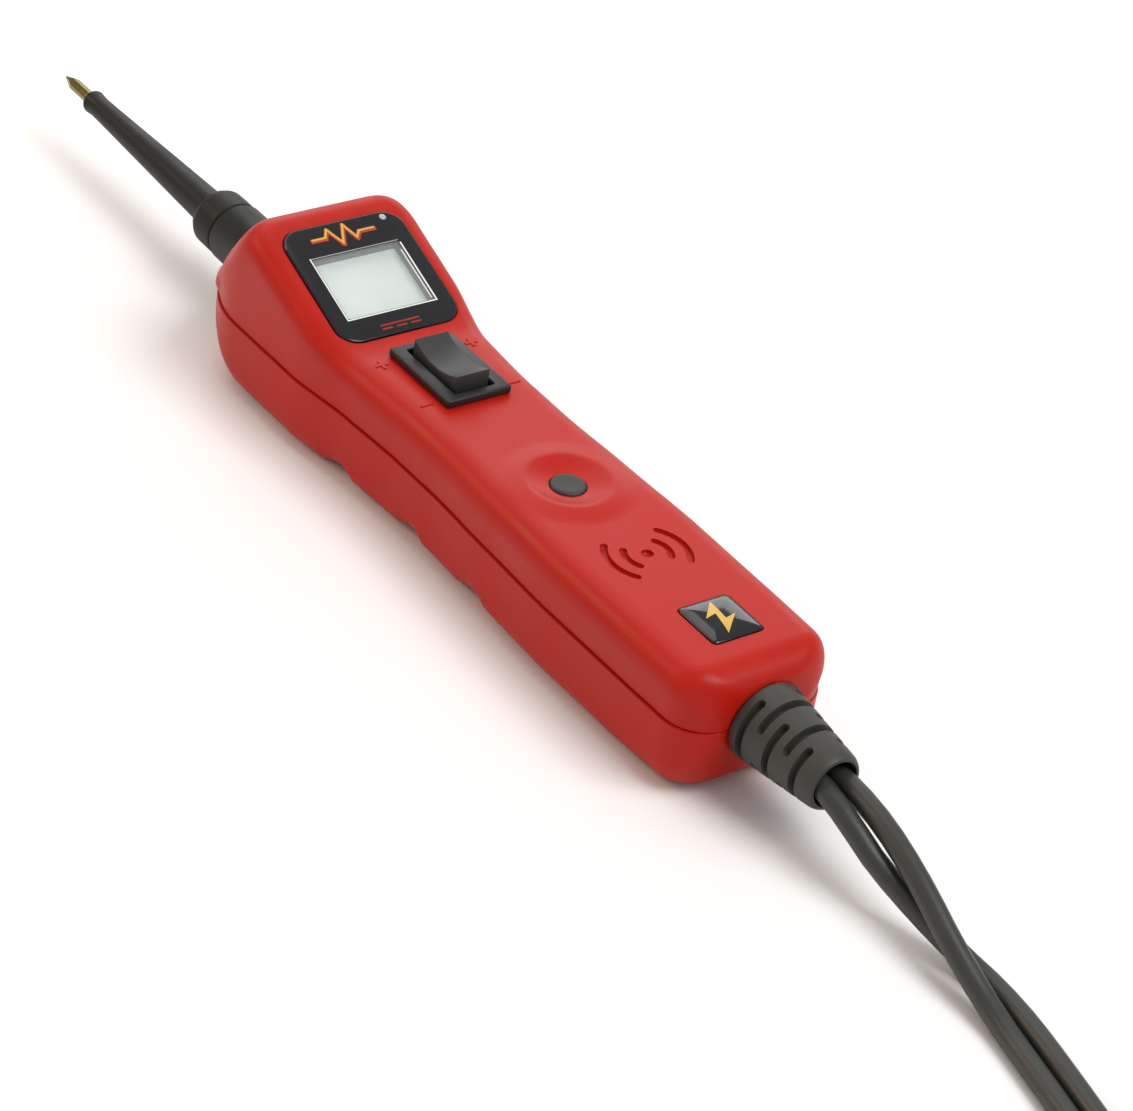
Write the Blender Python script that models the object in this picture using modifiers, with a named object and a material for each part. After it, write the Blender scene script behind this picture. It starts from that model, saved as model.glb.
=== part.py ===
"""A hand-held powered circuit tester: a red housing with a tilted display head, a rocker switch,
a probe at the nose, and two long battery leads that end in sprung clips.

X runs along the tool from the probe's point (-X) to the leads (+X), Y across it, Z up.
The origin is on the table, under the middle of the tool's length without its leads.
"""
import math

import bmesh
import bpy
from mathutils import Matrix, Vector

MM = 0.001
GAP = 0.3 * MM

# The tool along X
TIP_X = -137.55 * MM
RELIEF_END_X = 137.55 * MM
NOSE_X = -55.0 * MM
NOSE_LENGTH = 21.0 * MM
TAIL_X = 116.8 * MM

# The housing's heights
SEAM_Z = 15.6 * MM
HANDLE_Z = 27.0 * MM
AXIS_Z = 15.6 * MM
WALL = 2.0 * MM
LEDGE = 0.35 * MM

# Half-widths of the housing at the seam: head, waist, palm swell and tail
WAIST = ((-34.0, 18.8), (-12.0, 18.6), (4.0, 16.6), (20.0, 15.7), (34.0, 15.6),
         (52.0, 16.4), (72.0, 17.1), (95.0, 16.9), (120.0, 16.5))
UPPER_SWELL = 0.3 * MM
TAIL_PLAN_RADIUS = 8.0 * MM
TAIL_TOP_RADIUS = 6.5 * MM
TAIL_BOTTOM_RADIUS = 9.0 * MM

# The display head: a plane that rises towards the nose, then a face that falls to the probe
TILT = math.radians(19.9)
LABEL_REAR_X = -2.45 * MM
LABEL_REAR_Z = 27.4 * MM
NOSE_FACE_X = -52.5 * MM
NOSE_FACE_Z = 20.8 * MM
NOSE_FACE_SLOPE = 1.06
RIDGE_SOFTNESS = 1.6 * MM
FOOT_FROM_X = -5.0 * MM
FOOT_TO_X = 3.0 * MM

# The underside
BELLY_X = -31.0 * MM
BELLY_LENGTH = 23.5 * MM
BELLY_RISE = 8.6 * MM
SCOOPS_X = (-3.6 * MM, 20.6 * MM, 43.2 * MM)
SCOOP_LENGTH = 10.8 * MM
SCOOP_DEPTH = 1.6 * MM

# The display
LABEL_LENGTH = 29.3 * MM
LABEL_WIDTH = 28.5 * MM
LABEL_PROUD = 0.5 * MM
LABEL_SINK = 0.6 * MM
LABEL_CORNER = 4.5 * MM
WINDOW_LENGTH = 15.6 * MM
WINDOW_WIDTH = 20.6 * MM
WINDOW_OFFSET = 1.1 * MM
LCD_LENGTH = 17.0 * MM
LCD_WIDTH = 22.0 * MM
LCD_DROP = 2.9 * MM
LCD_THICK = 1.8 * MM
HOLDER_DEPTH = 8.4 * MM

POLARITY_LED = (-13.2 * MM, 10.3 * MM)
WORK_LIGHT_X = -50.6 * MM
WORK_LIGHT_Y = 13.0 * MM
WORK_LIGHT_Z = 18.2 * MM

# Switch, button, speaker and badge
ROCKER_X = 13.3 * MM
ROCKER_PIVOT_Z = 26.5 * MM
ROCKER_LENGTH = 14.8 * MM
ROCKER_WIDTH = 7.9 * MM
ROCKER_TOP_Z = 31.8 * MM
ROCKER_DIP = 1.9 * MM
ROCKER_SLOT_LENGTH = 17.0 * MM
ROCKER_SLOT_WIDTH = 9.3 * MM
SWITCH_PINS = (-6 * MM, 0.0, 6 * MM)
BEZEL_LENGTH = 21.0 * MM
BEZEL_WIDTH = 15.0 * MM
BEZEL_HEIGHT = 1.8 * MM
BUTTON_X = 53.55 * MM
DISH_RADIUS = 11.0 * MM
DISH_DEPTH = 1.6 * MM
BUTTON_RADIUS = 3.6 * MM
SPEAKER_X = 78.65 * MM
SPEAKER_RADIUS = 9.4 * MM
SOUND_RADII = (4.5 * MM, 8.1 * MM)
SOUND_SLOT = 1.3 * MM
SOUND_HALF_ANGLE = math.radians(46)
BADGE_X = 100.95 * MM
BADGE_SIZE = 11.5 * MM

# Circuit board and its screws
BOARD_TOP_Z = 12.6 * MM
BOARD_THICK = 1.6 * MM
BOARD_FROM_X = -18.0 * MM
BOARD_TO_X = 96.0 * MM
BOARD_WIDTH = 24.0 * MM
BOARD_SCREWS_X = (-12.0 * MM, 91.0 * MM)
HOUSING_SCREWS = ((-28.0 * MM, 14.0 * MM), (101.5 * MM, 11.0 * MM))
BOSS_RADIUS = 3.4 * MM
SCREW_RADIUS = 1.5 * MM
SCREW_HEAD_RADIUS = 2.7 * MM
SCREW_HEAD_Z = 2.6 * MM
CHIP_X = 35.0 * MM
CHIP_SIZE = 10.0 * MM
CHIP_HEIGHT = 1.8 * MM

# Probe
COLLAR_RADIUS = 6.65 * MM
SOCKET_RADIUS = 3.0 * MM
PROBE_RADIUS = 1.4 * MM

# Strain relief
RELIEF_BASE_RADIUS = 8.35 * MM
RELIEF_END_RADIUS = 5.85 * MM
RELIEF_BORE = 4.8 * MM
RELIEF_RINGS = 5
RELIEF_PITCH = 3.3 * MM
RELIEF_SLOT = 1.6 * MM
RELIEF_SLOT_DEPTH = 1.6 * MM

# Leads: 4.4 mm over the insulation
LEAD = 4.4 * MM
COIL_CENTRE = (298.0 * MM, 37.0 * MM)
COIL_OUTER = 56.6 * MM
COIL_INNER = 20.0 * MM
COIL_LOW = 0.8 * MM
COIL_HIGH = 28.0 * MM
TIE_ANGLES = (math.radians(180), math.radians(60))
TIE_WIDTH = 12.0 * MM
TIE_THICK = 0.6 * MM
# Each route is in millimetres; the positive lead leaves on +Y and crosses over the other
POSITIVE_ROUTE = ((122.5, 2.3, 15.6), (130.0, 2.3, 15.6), (137.5, 2.3, 15.6), (145.0, 2.0, 15.2),
                  (153.0, 1.2, 14.1), (163.0, 0.0, 11.4), (173.0, -1.3, 7.8), (182.0, -1.9, 4.5),
                  (189.0, -2.5, 2.7), (196.0, -3.8, 2.3), (209.0, -6.6, 2.3), (225.0, -10.2, 2.3),
                  (241.0, -13.9, 2.3), (257.0, -16.7, 2.4), (273.4, -17.5, 3.0))
NEGATIVE_ROUTE = ((122.5, -2.3, 15.6), (130.0, -2.3, 15.6), (137.5, -2.3, 15.3), (145.0, -2.4, 13.5),
                  (153.0, -1.6, 9.8), (163.0, 0.5, 5.8), (173.0, 2.4, 3.0), (180.0, 3.1, 2.3),
                  (188.0, 2.5, 2.3), (196.0, 1.2, 2.3), (209.0, -1.6, 2.3), (225.0, -5.2, 2.3),
                  (241.0, -8.9, 2.3), (254.0, -11.3, 2.5), (265.4, -12.5, 3.0))
# From the coil's top to the clips that lie on it
POSITIVE_TAIL = ((336.2, -1.2, 30.5), (343.7, 8.4, 30.5), (349.1, 19.5, 30.5), (351.8, 31.4, 30.5),
                 (351.8, 43.6, 30.5), (348.7, 55.9, 30.5), (343.4, 66.0, 30.5), (337.0, 74.4, 31.1),
                 (329.9, 79.5, 32.7), (322.5, 81.5, 34.8), (315.2, 81.1, 36.6))
NEGATIVE_TAIL = ((333.0, 2.0, 30.5), (337.4, 9.1, 30.5), (338.0, 17.5, 30.8), (334.8, 25.2, 31.9),
                 (328.4, 30.7, 33.9), (321.3, 32.6, 35.9), (316.4, 32.6, 36.6))

# Battery clips, lying on the coil on their sides: lengths from the pivot, in millimetres or metres
CLIP_HEIGHT = 15.0 * MM
CLIP_JAW = 36.0
CLIP_HANDLE_ANGLE = math.radians(17)
CLIP_FIXED_Z = (1.9 * MM, 13.1 * MM)
CLIP_MOVING_Z = (3.1 * MM, 11.9 * MM)
CLIP_SHEET = 0.9 * MM
CLIP_BASE = 29.1 * MM
CLIP_PIVOTS = {"positive": (269.7 * MM, 62.6 * MM), "negative": (270.5 * MM, 13.8 * MM)}

RED = (0.50, 0.022, 0.012)
BLACK = (0.022, 0.022, 0.022)
RUBBER = (0.030, 0.030, 0.026)
GLOSS_BLACK = (0.010, 0.010, 0.012)
GLASS = (0.80, 0.86, 0.84)
LCD_GREY = (0.56, 0.62, 0.58)
BOARD_GREEN = (0.03, 0.20, 0.07)
BRASS = (0.72, 0.52, 0.20)
STEEL = (0.62, 0.63, 0.64)
WHITE = (0.85, 0.85, 0.83)
GOLD = (0.80, 0.52, 0.12)
CLIP_RED = (0.62, 0.02, 0.02)

parts = None
cutters = None


def material(name, colour, roughness, metallic=0.0):
    made = bpy.data.materials.get(name)
    if made:
        return made
    made = bpy.data.materials.new(name)
    made.use_nodes = True
    shader = made.node_tree.nodes["Principled BSDF"]
    shader.inputs["Base Color"].default_value = (*colour, 1.0)
    shader.inputs["Roughness"].default_value = roughness
    shader.inputs["Metallic"].default_value = metallic
    return made


def finish(obj, colour=None, roughness=0.5, metallic=0.0, sharp=35):
    """Link a part to the parts' collection, or a shape without a colour to the cutters'."""
    for old in list(obj.users_collection):
        old.objects.unlink(obj)
    if colour is None:
        cutters.objects.link(obj)
        obj.hide_render = True
        obj.display_type = "WIRE"
        return obj
    parts.objects.link(obj)
    obj.data.materials.clear()
    obj.data.materials.append(material(obj.name, colour, roughness, metallic))
    obj.data.shade_smooth()
    obj.data.set_sharp_from_angle(angle=math.radians(sharp))
    return obj


def from_bmesh(name, bm):
    bmesh.ops.recalc_face_normals(bm, faces=bm.faces)
    mesh = bpy.data.meshes.new(name)
    bm.to_mesh(mesh)
    bm.free()
    obj = bpy.data.objects.new(name, mesh)
    bpy.context.scene.collection.objects.link(obj)
    return obj


def block(name, low, high):
    """A box between two corners."""
    bm = bmesh.new()
    low, high = Vector(low), Vector(high)
    size = high - low
    place = Matrix.Translation((low + high) / 2) @ Matrix.Diagonal((*size, 1.0))
    bmesh.ops.create_cube(bm, size=1.0, matrix=place)
    return from_bmesh(name, bm)


def rod(name, centre, radius, low, high, axis="Z", sides=24):
    """A cylinder along an axis; centre holds its two other coordinates."""
    bm = bmesh.new()
    middle = (low + high) / 2
    turns = {"Z": Matrix.Identity(4), "X": Matrix.Rotation(math.pi / 2, 4, "Y"),
             "Y": Matrix.Rotation(-math.pi / 2, 4, "X")}
    places = {"Z": (centre[0], centre[1], middle), "X": (middle, centre[0], centre[1]),
              "Y": (centre[0], middle, centre[1])}
    bmesh.ops.create_cone(bm, cap_ends=True, segments=sides, radius1=radius, radius2=radius,
                          depth=high - low, matrix=Matrix.Translation(places[axis]) @ turns[axis])
    return from_bmesh(name, bm)


def as_mesh(curve_object):
    """Turn a curve object into a mesh object whose caps are welded on."""
    graph = bpy.context.evaluated_depsgraph_get()
    mesh = bpy.data.meshes.new_from_object(curve_object.evaluated_get(graph))
    bm = bmesh.new()
    bm.from_mesh(mesh)
    bmesh.ops.remove_doubles(bm, verts=bm.verts, dist=1e-6)
    bmesh.ops.recalc_face_normals(bm, faces=bm.faces)
    bm.to_mesh(mesh)
    bm.free()
    name = curve_object.name
    made = bpy.data.objects.new(name + "_mesh", mesh)
    bpy.context.scene.collection.objects.link(made)
    made.matrix_world = curve_object.matrix_world
    bpy.data.objects.remove(curve_object)
    made.name = name
    return made


def plate(name, outline, low, high):
    """A flat outline in XY, filled and extruded from low to high."""
    curve = bpy.data.curves.new(name, "CURVE")
    curve.dimensions = "2D"
    curve.fill_mode = "BOTH"
    curve.extrude = (high - low) / 2
    spline = curve.splines.new("POLY")
    spline.points.add(len(outline) - 1)
    for point, (x, y) in zip(spline.points, outline):
        point.co = (x, y, 0.0, 1.0)
    spline.use_cyclic_u = True
    obj = bpy.data.objects.new(name, curve)
    obj.location.z = (low + high) / 2
    bpy.context.scene.collection.objects.link(obj)
    bpy.context.view_layer.update()
    return as_mesh(obj)


def tube(name, points, radius, resolution=2):
    """A round wire through points, as a mesh with closed ends."""
    curve = bpy.data.curves.new(name, "CURVE")
    curve.dimensions = "3D"
    curve.bevel_depth = radius
    curve.bevel_resolution = resolution
    curve.use_fill_caps = True
    spline = curve.splines.new("POLY")
    spline.points.add(len(points) - 1)
    for point, place in zip(spline.points, points):
        point.co = (*place, 1.0)
    obj = bpy.data.objects.new(name, curve)
    bpy.context.scene.collection.objects.link(obj)
    bpy.context.view_layer.update()
    return as_mesh(obj)


def turned(name, profile, steps=24, loop=False, across=(0.0, AXIS_Z)):
    """A profile of (x, radius) points turned about the tool's axis, front to back."""
    bm = bmesh.new()
    corners = [bm.verts.new((radius, 0.0, x)) for x, radius in reversed(profile)]
    for a, b in zip(corners, corners[1:]):
        bm.edges.new((a, b))
    if loop:
        bm.edges.new((corners[-1], corners[0]))
    mesh = bpy.data.meshes.new(name)
    bm.to_mesh(mesh)
    bm.free()
    obj = bpy.data.objects.new(name, mesh)
    bpy.context.scene.collection.objects.link(obj)
    obj.rotation_euler = (0.0, math.pi / 2, 0.0)
    obj.location = (0.0, *across)
    screw = obj.modifiers.new("turn", "SCREW")
    screw.steps = steps
    screw.render_steps = steps
    screw.use_merge_vertices = True
    screw.merge_threshold = 0.00001
    return obj


def boolean(obj, other, operation="DIFFERENCE"):
    made = obj.modifiers.new(operation.lower(), "BOOLEAN")
    made.operation = operation
    made.solver = "EXACT"
    made.object = finish(other)
    return obj


def rounded(cx, cy, length, width, corner, steps=4):
    """The outline of a rectangle with round corners."""
    outline = []
    for quarter, (sx, sy) in enumerate(((1, 1), (-1, 1), (-1, -1), (1, -1))):
        for step in range(steps + 1):
            angle = math.pi / 2 * (quarter + step / steps)
            outline.append((cx + sx * (length / 2 - corner) + corner * math.cos(angle),
                            cy + sy * (width / 2 - corner) + corner * math.sin(angle)))
    return outline


def smooth(route, pitch):
    """Points a pitch apart on a smooth curve through a route given in millimetres."""
    knots = [Vector(p) * MM for p in route]
    knots = [knots[0] * 2 - knots[1]] + knots + [knots[-1] * 2 - knots[-2]]
    dense = []
    for a, b, c, d in zip(knots, knots[1:], knots[2:], knots[3:]):
        for step in range(12):
            t = step / 12
            dense.append(0.5 * (2 * b + (c - a) * t + (2 * a - 5 * b + 4 * c - d) * t ** 2
                                + (3 * b - a - 3 * c + d) * t ** 3))
    dense.append(knots[-2])
    points, left = [dense[0]], pitch
    for a, b in zip(dense, dense[1:]):
        step = (b - a).length
        if step >= left:
            points.append(a.lerp(b, left / step))
            left += pitch
        left -= step
    if (points[-1] - dense[-1]).length < pitch / 2:
        points.pop()
    return points + [dense[-1]]


def ease(t):
    t = max(0.0, min(1.0, t))
    return t * t * (3 - 2 * t)


def between(x, low, high, at_low, at_high):
    return at_low + (at_high - at_low) * ease((x - low) / (high - low))


def round_off(t):
    """How far a quarter ellipse has fallen at the share t of its length."""
    return 1 - math.sqrt(max(0.0, 1 - min(1.0, t) ** 2))


def half_width(x, inset):
    mm = min(max(x / MM, WAIST[0][0]), WAIST[-1][0])
    for (x0, w0), (x1, w1) in zip(WAIST, WAIST[1:]):
        if x0 <= mm <= x1:
            share = (mm - x0) / (x1 - x0)
            width = (w0 + (w1 - w0) * (share + ease(share)) / 2) * MM
    width -= inset
    nose_start = NOSE_X + NOSE_LENGTH
    if x < nose_start:
        width *= 1 - round_off((nose_start - x) / (NOSE_LENGTH - inset))
    tail_start = TAIL_X - TAIL_PLAN_RADIUS
    if x > tail_start:
        radius = TAIL_PLAN_RADIUS - inset
        width -= radius * round_off((x - tail_start) / radius)
    return width


def top(x, inset):
    line = LABEL_REAR_Z + (LABEL_REAR_X - x) * math.tan(TILT)
    if x > FOOT_TO_X:
        height = HANDLE_Z
    elif x > FOOT_FROM_X:
        height = HANDLE_Z + (FOOT_TO_X - x) ** 2 / (16 * MM) * math.tan(TILT)
    else:
        face = NOSE_FACE_Z + (x - NOSE_FACE_X) * NOSE_FACE_SLOPE
        soft = RIDGE_SOFTNESS
        height = -soft * math.log(math.exp(-line / soft) + math.exp(-face / soft))
    start = TAIL_X - TAIL_TOP_RADIUS
    if x > start:
        height -= TAIL_TOP_RADIUS * round_off((x - start) / (TAIL_TOP_RADIUS - inset)) * 0.8
    return height - inset


def bottom(x, inset):
    height = 0.0
    if x < BELLY_X:
        height = BELLY_RISE * (1 - math.cos(math.pi / 2 * min(1.0, (BELLY_X - x) / BELLY_LENGTH)))
    for start in SCOOPS_X:
        share = (x - start) / SCOOP_LENGTH
        if 0 < share < 1:
            height += SCOOP_DEPTH * math.sin(math.pi * share ** 1.25)
    start = TAIL_X - TAIL_BOTTOM_RADIUS
    if x > start:
        height += TAIL_BOTTOM_RADIUS * round_off((x - start) / (TAIL_BOTTOM_RADIUS - inset)) * 0.8
    return height + inset


def housing_ring(x, inset, corner_steps=3):
    """The housing's cross-section at x, drawn in by inset."""
    width, high, low = half_width(x, inset), top(x, inset), bottom(x, inset)
    upper = between(x, -46 * MM, -33 * MM, 9 * MM, 4.5 * MM)
    upper = upper if x < -20 * MM else between(x, -6 * MM, 12 * MM, 4.5 * MM, 5.4 * MM)
    lower = between(x, -50 * MM, -32 * MM, 9.5 * MM, 6 * MM)
    lower = lower if x < 90 * MM else between(x, 90 * MM, TAIL_X, 6 * MM, 7.5 * MM)
    upper = min(max(1.2 * MM, upper - inset), (high - SEAM_Z) * 0.95, width * 0.9)
    lower = min(max(1.2 * MM, lower - inset), (SEAM_Z - low) * 0.95, width * 0.9)
    swell = UPPER_SWELL * min(1.0, width / (10 * MM))
    half = []
    for step in range(corner_steps + 1):
        angle = math.pi / 2 * step / corner_steps
        half.append((width - lower * (1 - math.sin(angle)), low + lower * (1 - math.cos(angle))))
    half.append((width, SEAM_Z))
    for step in range(corner_steps + 1):
        angle = math.pi / 2 * step / corner_steps
        half.append((width + swell - upper * (1 - math.cos(angle)),
                     high - upper * (1 - math.sin(angle))))
    return [(x, y, z) for y, z in half] + [(x, -y, z) for y, z in reversed(half)]


def housing_stations(inset):
    """Where the cross-sections stand: close together at both ends and in the scoops."""
    steps = 5 if inset else 8
    start = NOSE_X + inset + 0.35 * MM
    stop = TAIL_X - inset - 0.05 * MM
    nose_start = NOSE_X + NOSE_LENGTH
    tail_start = TAIL_X - TAIL_BOTTOM_RADIUS
    places = [nose_start - (nose_start - start) * math.sin(math.pi / 2 * i / steps)
              for i in range(steps + 1)]
    places += [tail_start + (stop - tail_start) * math.sin(math.pi / 2 * i / steps)
               for i in range(steps + 1)]
    places += [-31 * MM, -27 * MM, -18 * MM, FOOT_FROM_X, FOOT_TO_X, 65 * MM, 80 * MM, 95 * MM]
    for scoop in SCOOPS_X:
        places += [scoop + SCOOP_LENGTH * i / (steps - 3) for i in range(steps - 2)]
    kept = []
    for place in sorted(places):
        if not kept or place - kept[-1] > 0.6 * MM or place == stop:
            kept.append(place)
    return kept


def loft(name, rings):
    bm = bmesh.new()
    rows = [[bm.verts.new(p) for p in ring] for ring in rings]
    for a, b in zip(rows, rows[1:]):
        for i in range(len(a)):
            j = (i + 1) % len(a)
            bm.faces.new((a[i], a[j], b[j], b[i]))
    bm.faces.new(rows[0])
    bm.faces.new(rows[-1])
    return from_bmesh(name, bm)


def housing_body(name, inset):
    return loft(name, [housing_ring(x, inset) for x in housing_stations(inset)])


def tilted(obj, x_along, drop):
    """Stand a shape on the display's plane: x_along from the label's middle, drop below the plane."""
    middle = LABEL_LENGTH / 2
    origin = Vector((LABEL_REAR_X - middle * math.cos(TILT), 0.0,
                     LABEL_REAR_Z + middle * math.sin(TILT)))
    turn = Matrix.Rotation(TILT, 4, "Y")
    place = Matrix.Translation(origin) @ turn @ Matrix.Translation((x_along, 0.0, -drop))
    obj.matrix_world = place @ obj.matrix_world
    return obj


def arc_slot(name, cx, cy, radius, width, middle, half_angle, low, high, steps=8):
    """A curved slot's cutter, square at its ends."""
    outline = []
    for side in (1, -1):
        for step in range(steps + 1):
            angle = middle + side * half_angle * (2 * step / steps - 1)
            reach = radius + side * width / 2
            outline.append((cx + reach * math.cos(angle), cy + reach * math.sin(angle)))
    return plate(name, outline, low, high)


def make_top_cover():
    cover = housing_body("top_cover", 0.0)
    boolean(cover, housing_body("top_cavity", WALL))
    boolean(cover, rod("button_seat", (BUTTON_X, 0.0), 13.0 * MM, 23.4 * MM, 26.0 * MM), "UNION")
    for x, y in HOUSING_SCREWS:
        for side in (1, -1):
            boss = rod("top_boss", (x, side * y), BOSS_RADIUS, SEAM_Z, 25.6 * MM, sides=16)
            boolean(cover, boss, "UNION")
    boolean(cover, block("below_seam", (-0.2, -0.05, -0.02), (0.2, 0.05, SEAM_Z + GAP / 2)))
    for x, y in HOUSING_SCREWS:
        for side in (1, -1):
            boolean(cover, rod("pilot", (x, side * y), SCREW_RADIUS + 0.1 * MM, SEAM_Z - 1 * MM,
                               22 * MM, sides=12))
    recess = plate("label_recess", rounded(0, 0, LABEL_LENGTH + 0.6 * MM, LABEL_WIDTH + 0.6 * MM,
                                           LABEL_CORNER + 0.3 * MM), 0.0, 5 * MM)
    boolean(cover, tilted(recess, 0.0, LABEL_SINK))
    opening = plate("lcd_opening", rounded(0, 0, 17.6 * MM, 22.6 * MM, 0.5 * MM, 1),
                    -6 * MM, 2 * MM)
    boolean(cover, tilted(opening, WINDOW_OFFSET, 0.0))
    boolean(cover, block("switch_opening", (ROCKER_X - 9.6 * MM, -6.5 * MM, 20 * MM),
                         (ROCKER_X + 9.6 * MM, 6.5 * MM, 32 * MM)))
    dish_ball = (DISH_RADIUS ** 2 + DISH_DEPTH ** 2) / (2 * DISH_DEPTH)
    rows = 4
    rings = []
    for row in range(rows + 1):
        radius = DISH_RADIUS * (row + 0.3) / (rows + 0.3)
        height = HANDLE_Z - DISH_DEPTH + dish_ball - math.sqrt(dish_ball ** 2 - radius ** 2)
        rings.append([(BUTTON_X + radius * math.cos(2 * math.pi * i / 32),
                       radius * math.sin(2 * math.pi * i / 32), height) for i in range(32)])
    rings.append([(x, y, HANDLE_Z + 2 * MM) for x, y, z in rings[-1]])
    boolean(cover, loft("dish", rings))
    boolean(cover, rod("button_hole", (BUTTON_X, 0.0), BUTTON_RADIUS + GAP, 20 * MM, 30 * MM))
    for radius in SOUND_RADII:
        for middle in (math.pi / 2, -math.pi / 2):
            boolean(cover, arc_slot("sound_slot", SPEAKER_X, 0.0, radius, SOUND_SLOT, middle,
                                    SOUND_HALF_ANGLE, 20 * MM, 30 * MM, 6))
    boolean(cover, rod("sound_hole", (SPEAKER_X, 0.0), 1.2 * MM, 20 * MM, 30 * MM, sides=12))
    boolean(cover, plate("badge_recess", rounded(BADGE_X, 0.0, BADGE_SIZE + 0.6 * MM,
                                                 BADGE_SIZE + 0.6 * MM, 1.3 * MM, 2),
                         HANDLE_Z - 0.5 * MM, 30 * MM))
    lamp_hole = rod("lamp_hole", (0.0, 0.0), 1.5 * MM, -6 * MM, 1 * MM, sides=12)
    lamp_hole.location = (POLARITY_LED[0], POLARITY_LED[1], lamp_hole.location.z)
    bpy.context.view_layer.update()
    boolean(cover, tilted(lamp_hole, 0.0, 0.0))
    for side in (1, -1):
        boolean(cover, rod("light_hole", (side * WORK_LIGHT_Y, WORK_LIGHT_Z), 1.8 * MM, -56 * MM,
                           -40 * MM, "X", 16))
    cut_ends(cover)
    return finish(cover, RED, 0.45)


def cut_ends(cover):
    """The collar's hole at the nose and the strain relief's at the tail."""
    boolean(cover, rod("collar_hole", (0.0, AXIS_Z), COLLAR_RADIUS + GAP, -60 * MM, -48 * MM, "X"))
    boolean(cover, rod("relief_hole", (0.0, AXIS_Z), RELIEF_BASE_RADIUS - 0.7 * MM, 110 * MM,
                       120 * MM, "X"))


def make_bottom_cover():
    cover = housing_body("bottom_cover", 0.0)
    cover.scale.y = (WAIST[0][1] * MM + LEDGE) / (WAIST[0][1] * MM)
    bpy.context.view_layer.update()
    boolean(cover, housing_body("bottom_cavity", WALL))
    for x, y in HOUSING_SCREWS:
        for side in (1, -1):
            boss = rod("boss", (x, side * y), BOSS_RADIUS, 1.2 * MM, SEAM_Z, sides=16)
            boolean(cover, boss, "UNION")
    for x in BOARD_SCREWS_X:
        post = rod("board_post", (x, 0.0), 3.0 * MM, 1.2 * MM, BOARD_TOP_Z - BOARD_THICK - GAP,
                   sides=16)
        boolean(cover, post, "UNION")
        boolean(cover, rod("post_pilot", (x, 0.0), 1.3 * MM, 4 * MM, 15 * MM, sides=12))
    boolean(cover, block("above_seam", (-0.2, -0.05, SEAM_Z - GAP / 2), (0.2, 0.05, 0.06)))
    for x, y in HOUSING_SCREWS:
        for side in (1, -1):
            boolean(cover, rod("screw_hole", (x, side * y), SCREW_RADIUS + 0.3 * MM, -1 * MM,
                               20 * MM, sides=12))
            boolean(cover, rod("head_hole", (x, side * y), SCREW_HEAD_RADIUS + GAP, -1 * MM,
                               SCREW_HEAD_Z + 1.9 * MM, sides=16))
    cut_ends(cover)
    return finish(cover, RED, 0.45)


def upright(name, x, y, profile, steps=24):
    """A turned piece that stands on its own axis along Z; its profile is (height, radius)."""
    obj = turned(name, profile, steps)
    obj.rotation_euler = (0.0, 0.0, 0.0)
    obj.location = (x, y, 0.0)
    return obj


def make_screws():
    head_top = SCREW_HEAD_Z + 1.6 * MM
    shank = SCREW_RADIUS - 0.1 * MM
    profile = ((SCREW_HEAD_Z, 0.0), (SCREW_HEAD_Z, SCREW_HEAD_RADIUS),
               (head_top, SCREW_HEAD_RADIUS), (head_top, shank), (21.0 * MM, shank), (21.6 * MM, 0.0))
    places = [(x, side * y) for x, y in HOUSING_SCREWS for side in (1, -1)]
    for number, (x, y) in enumerate(places, 1):
        screw = upright(f"housing_screw_{number}", x, y, profile, 12)
        finish(screw, STEEL, 0.35, 1.0)
    seat = BOARD_TOP_Z + GAP
    profile = ((5.0 * MM, 0.0), (5.0 * MM, 1.1 * MM), (seat, 1.1 * MM), (seat, 2.3 * MM),
               (seat + 1.3 * MM, 2.3 * MM), (seat + 1.3 * MM, 0.0))
    for number, x in enumerate(BOARD_SCREWS_X, 1):
        screw = upright(f"board_screw_{number}", x, 0.0, profile, 12)
        finish(screw, STEEL, 0.35, 1.0)


def joined(name, objects):
    """Several separate solids in one object."""
    graph = bpy.context.evaluated_depsgraph_get()
    bm = bmesh.new()
    for obj in objects:
        graph.update()
        mesh = bpy.data.meshes.new_from_object(obj.evaluated_get(graph))
        mesh.transform(obj.matrix_world)
        bm.from_mesh(mesh)
    for obj in objects:
        bpy.data.objects.remove(obj)
    return from_bmesh(name, bm)


def pivot_at(name, place, *moved):
    """An empty on a joint's axis, with the pieces that turn about it as its children."""
    pivot = bpy.data.objects.new(name, None)
    parts.objects.link(pivot)
    pivot.matrix_world = place
    bpy.context.view_layer.update()
    for obj in moved:
        obj.parent = pivot
        obj.matrix_parent_inverse = place.inverted()


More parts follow.
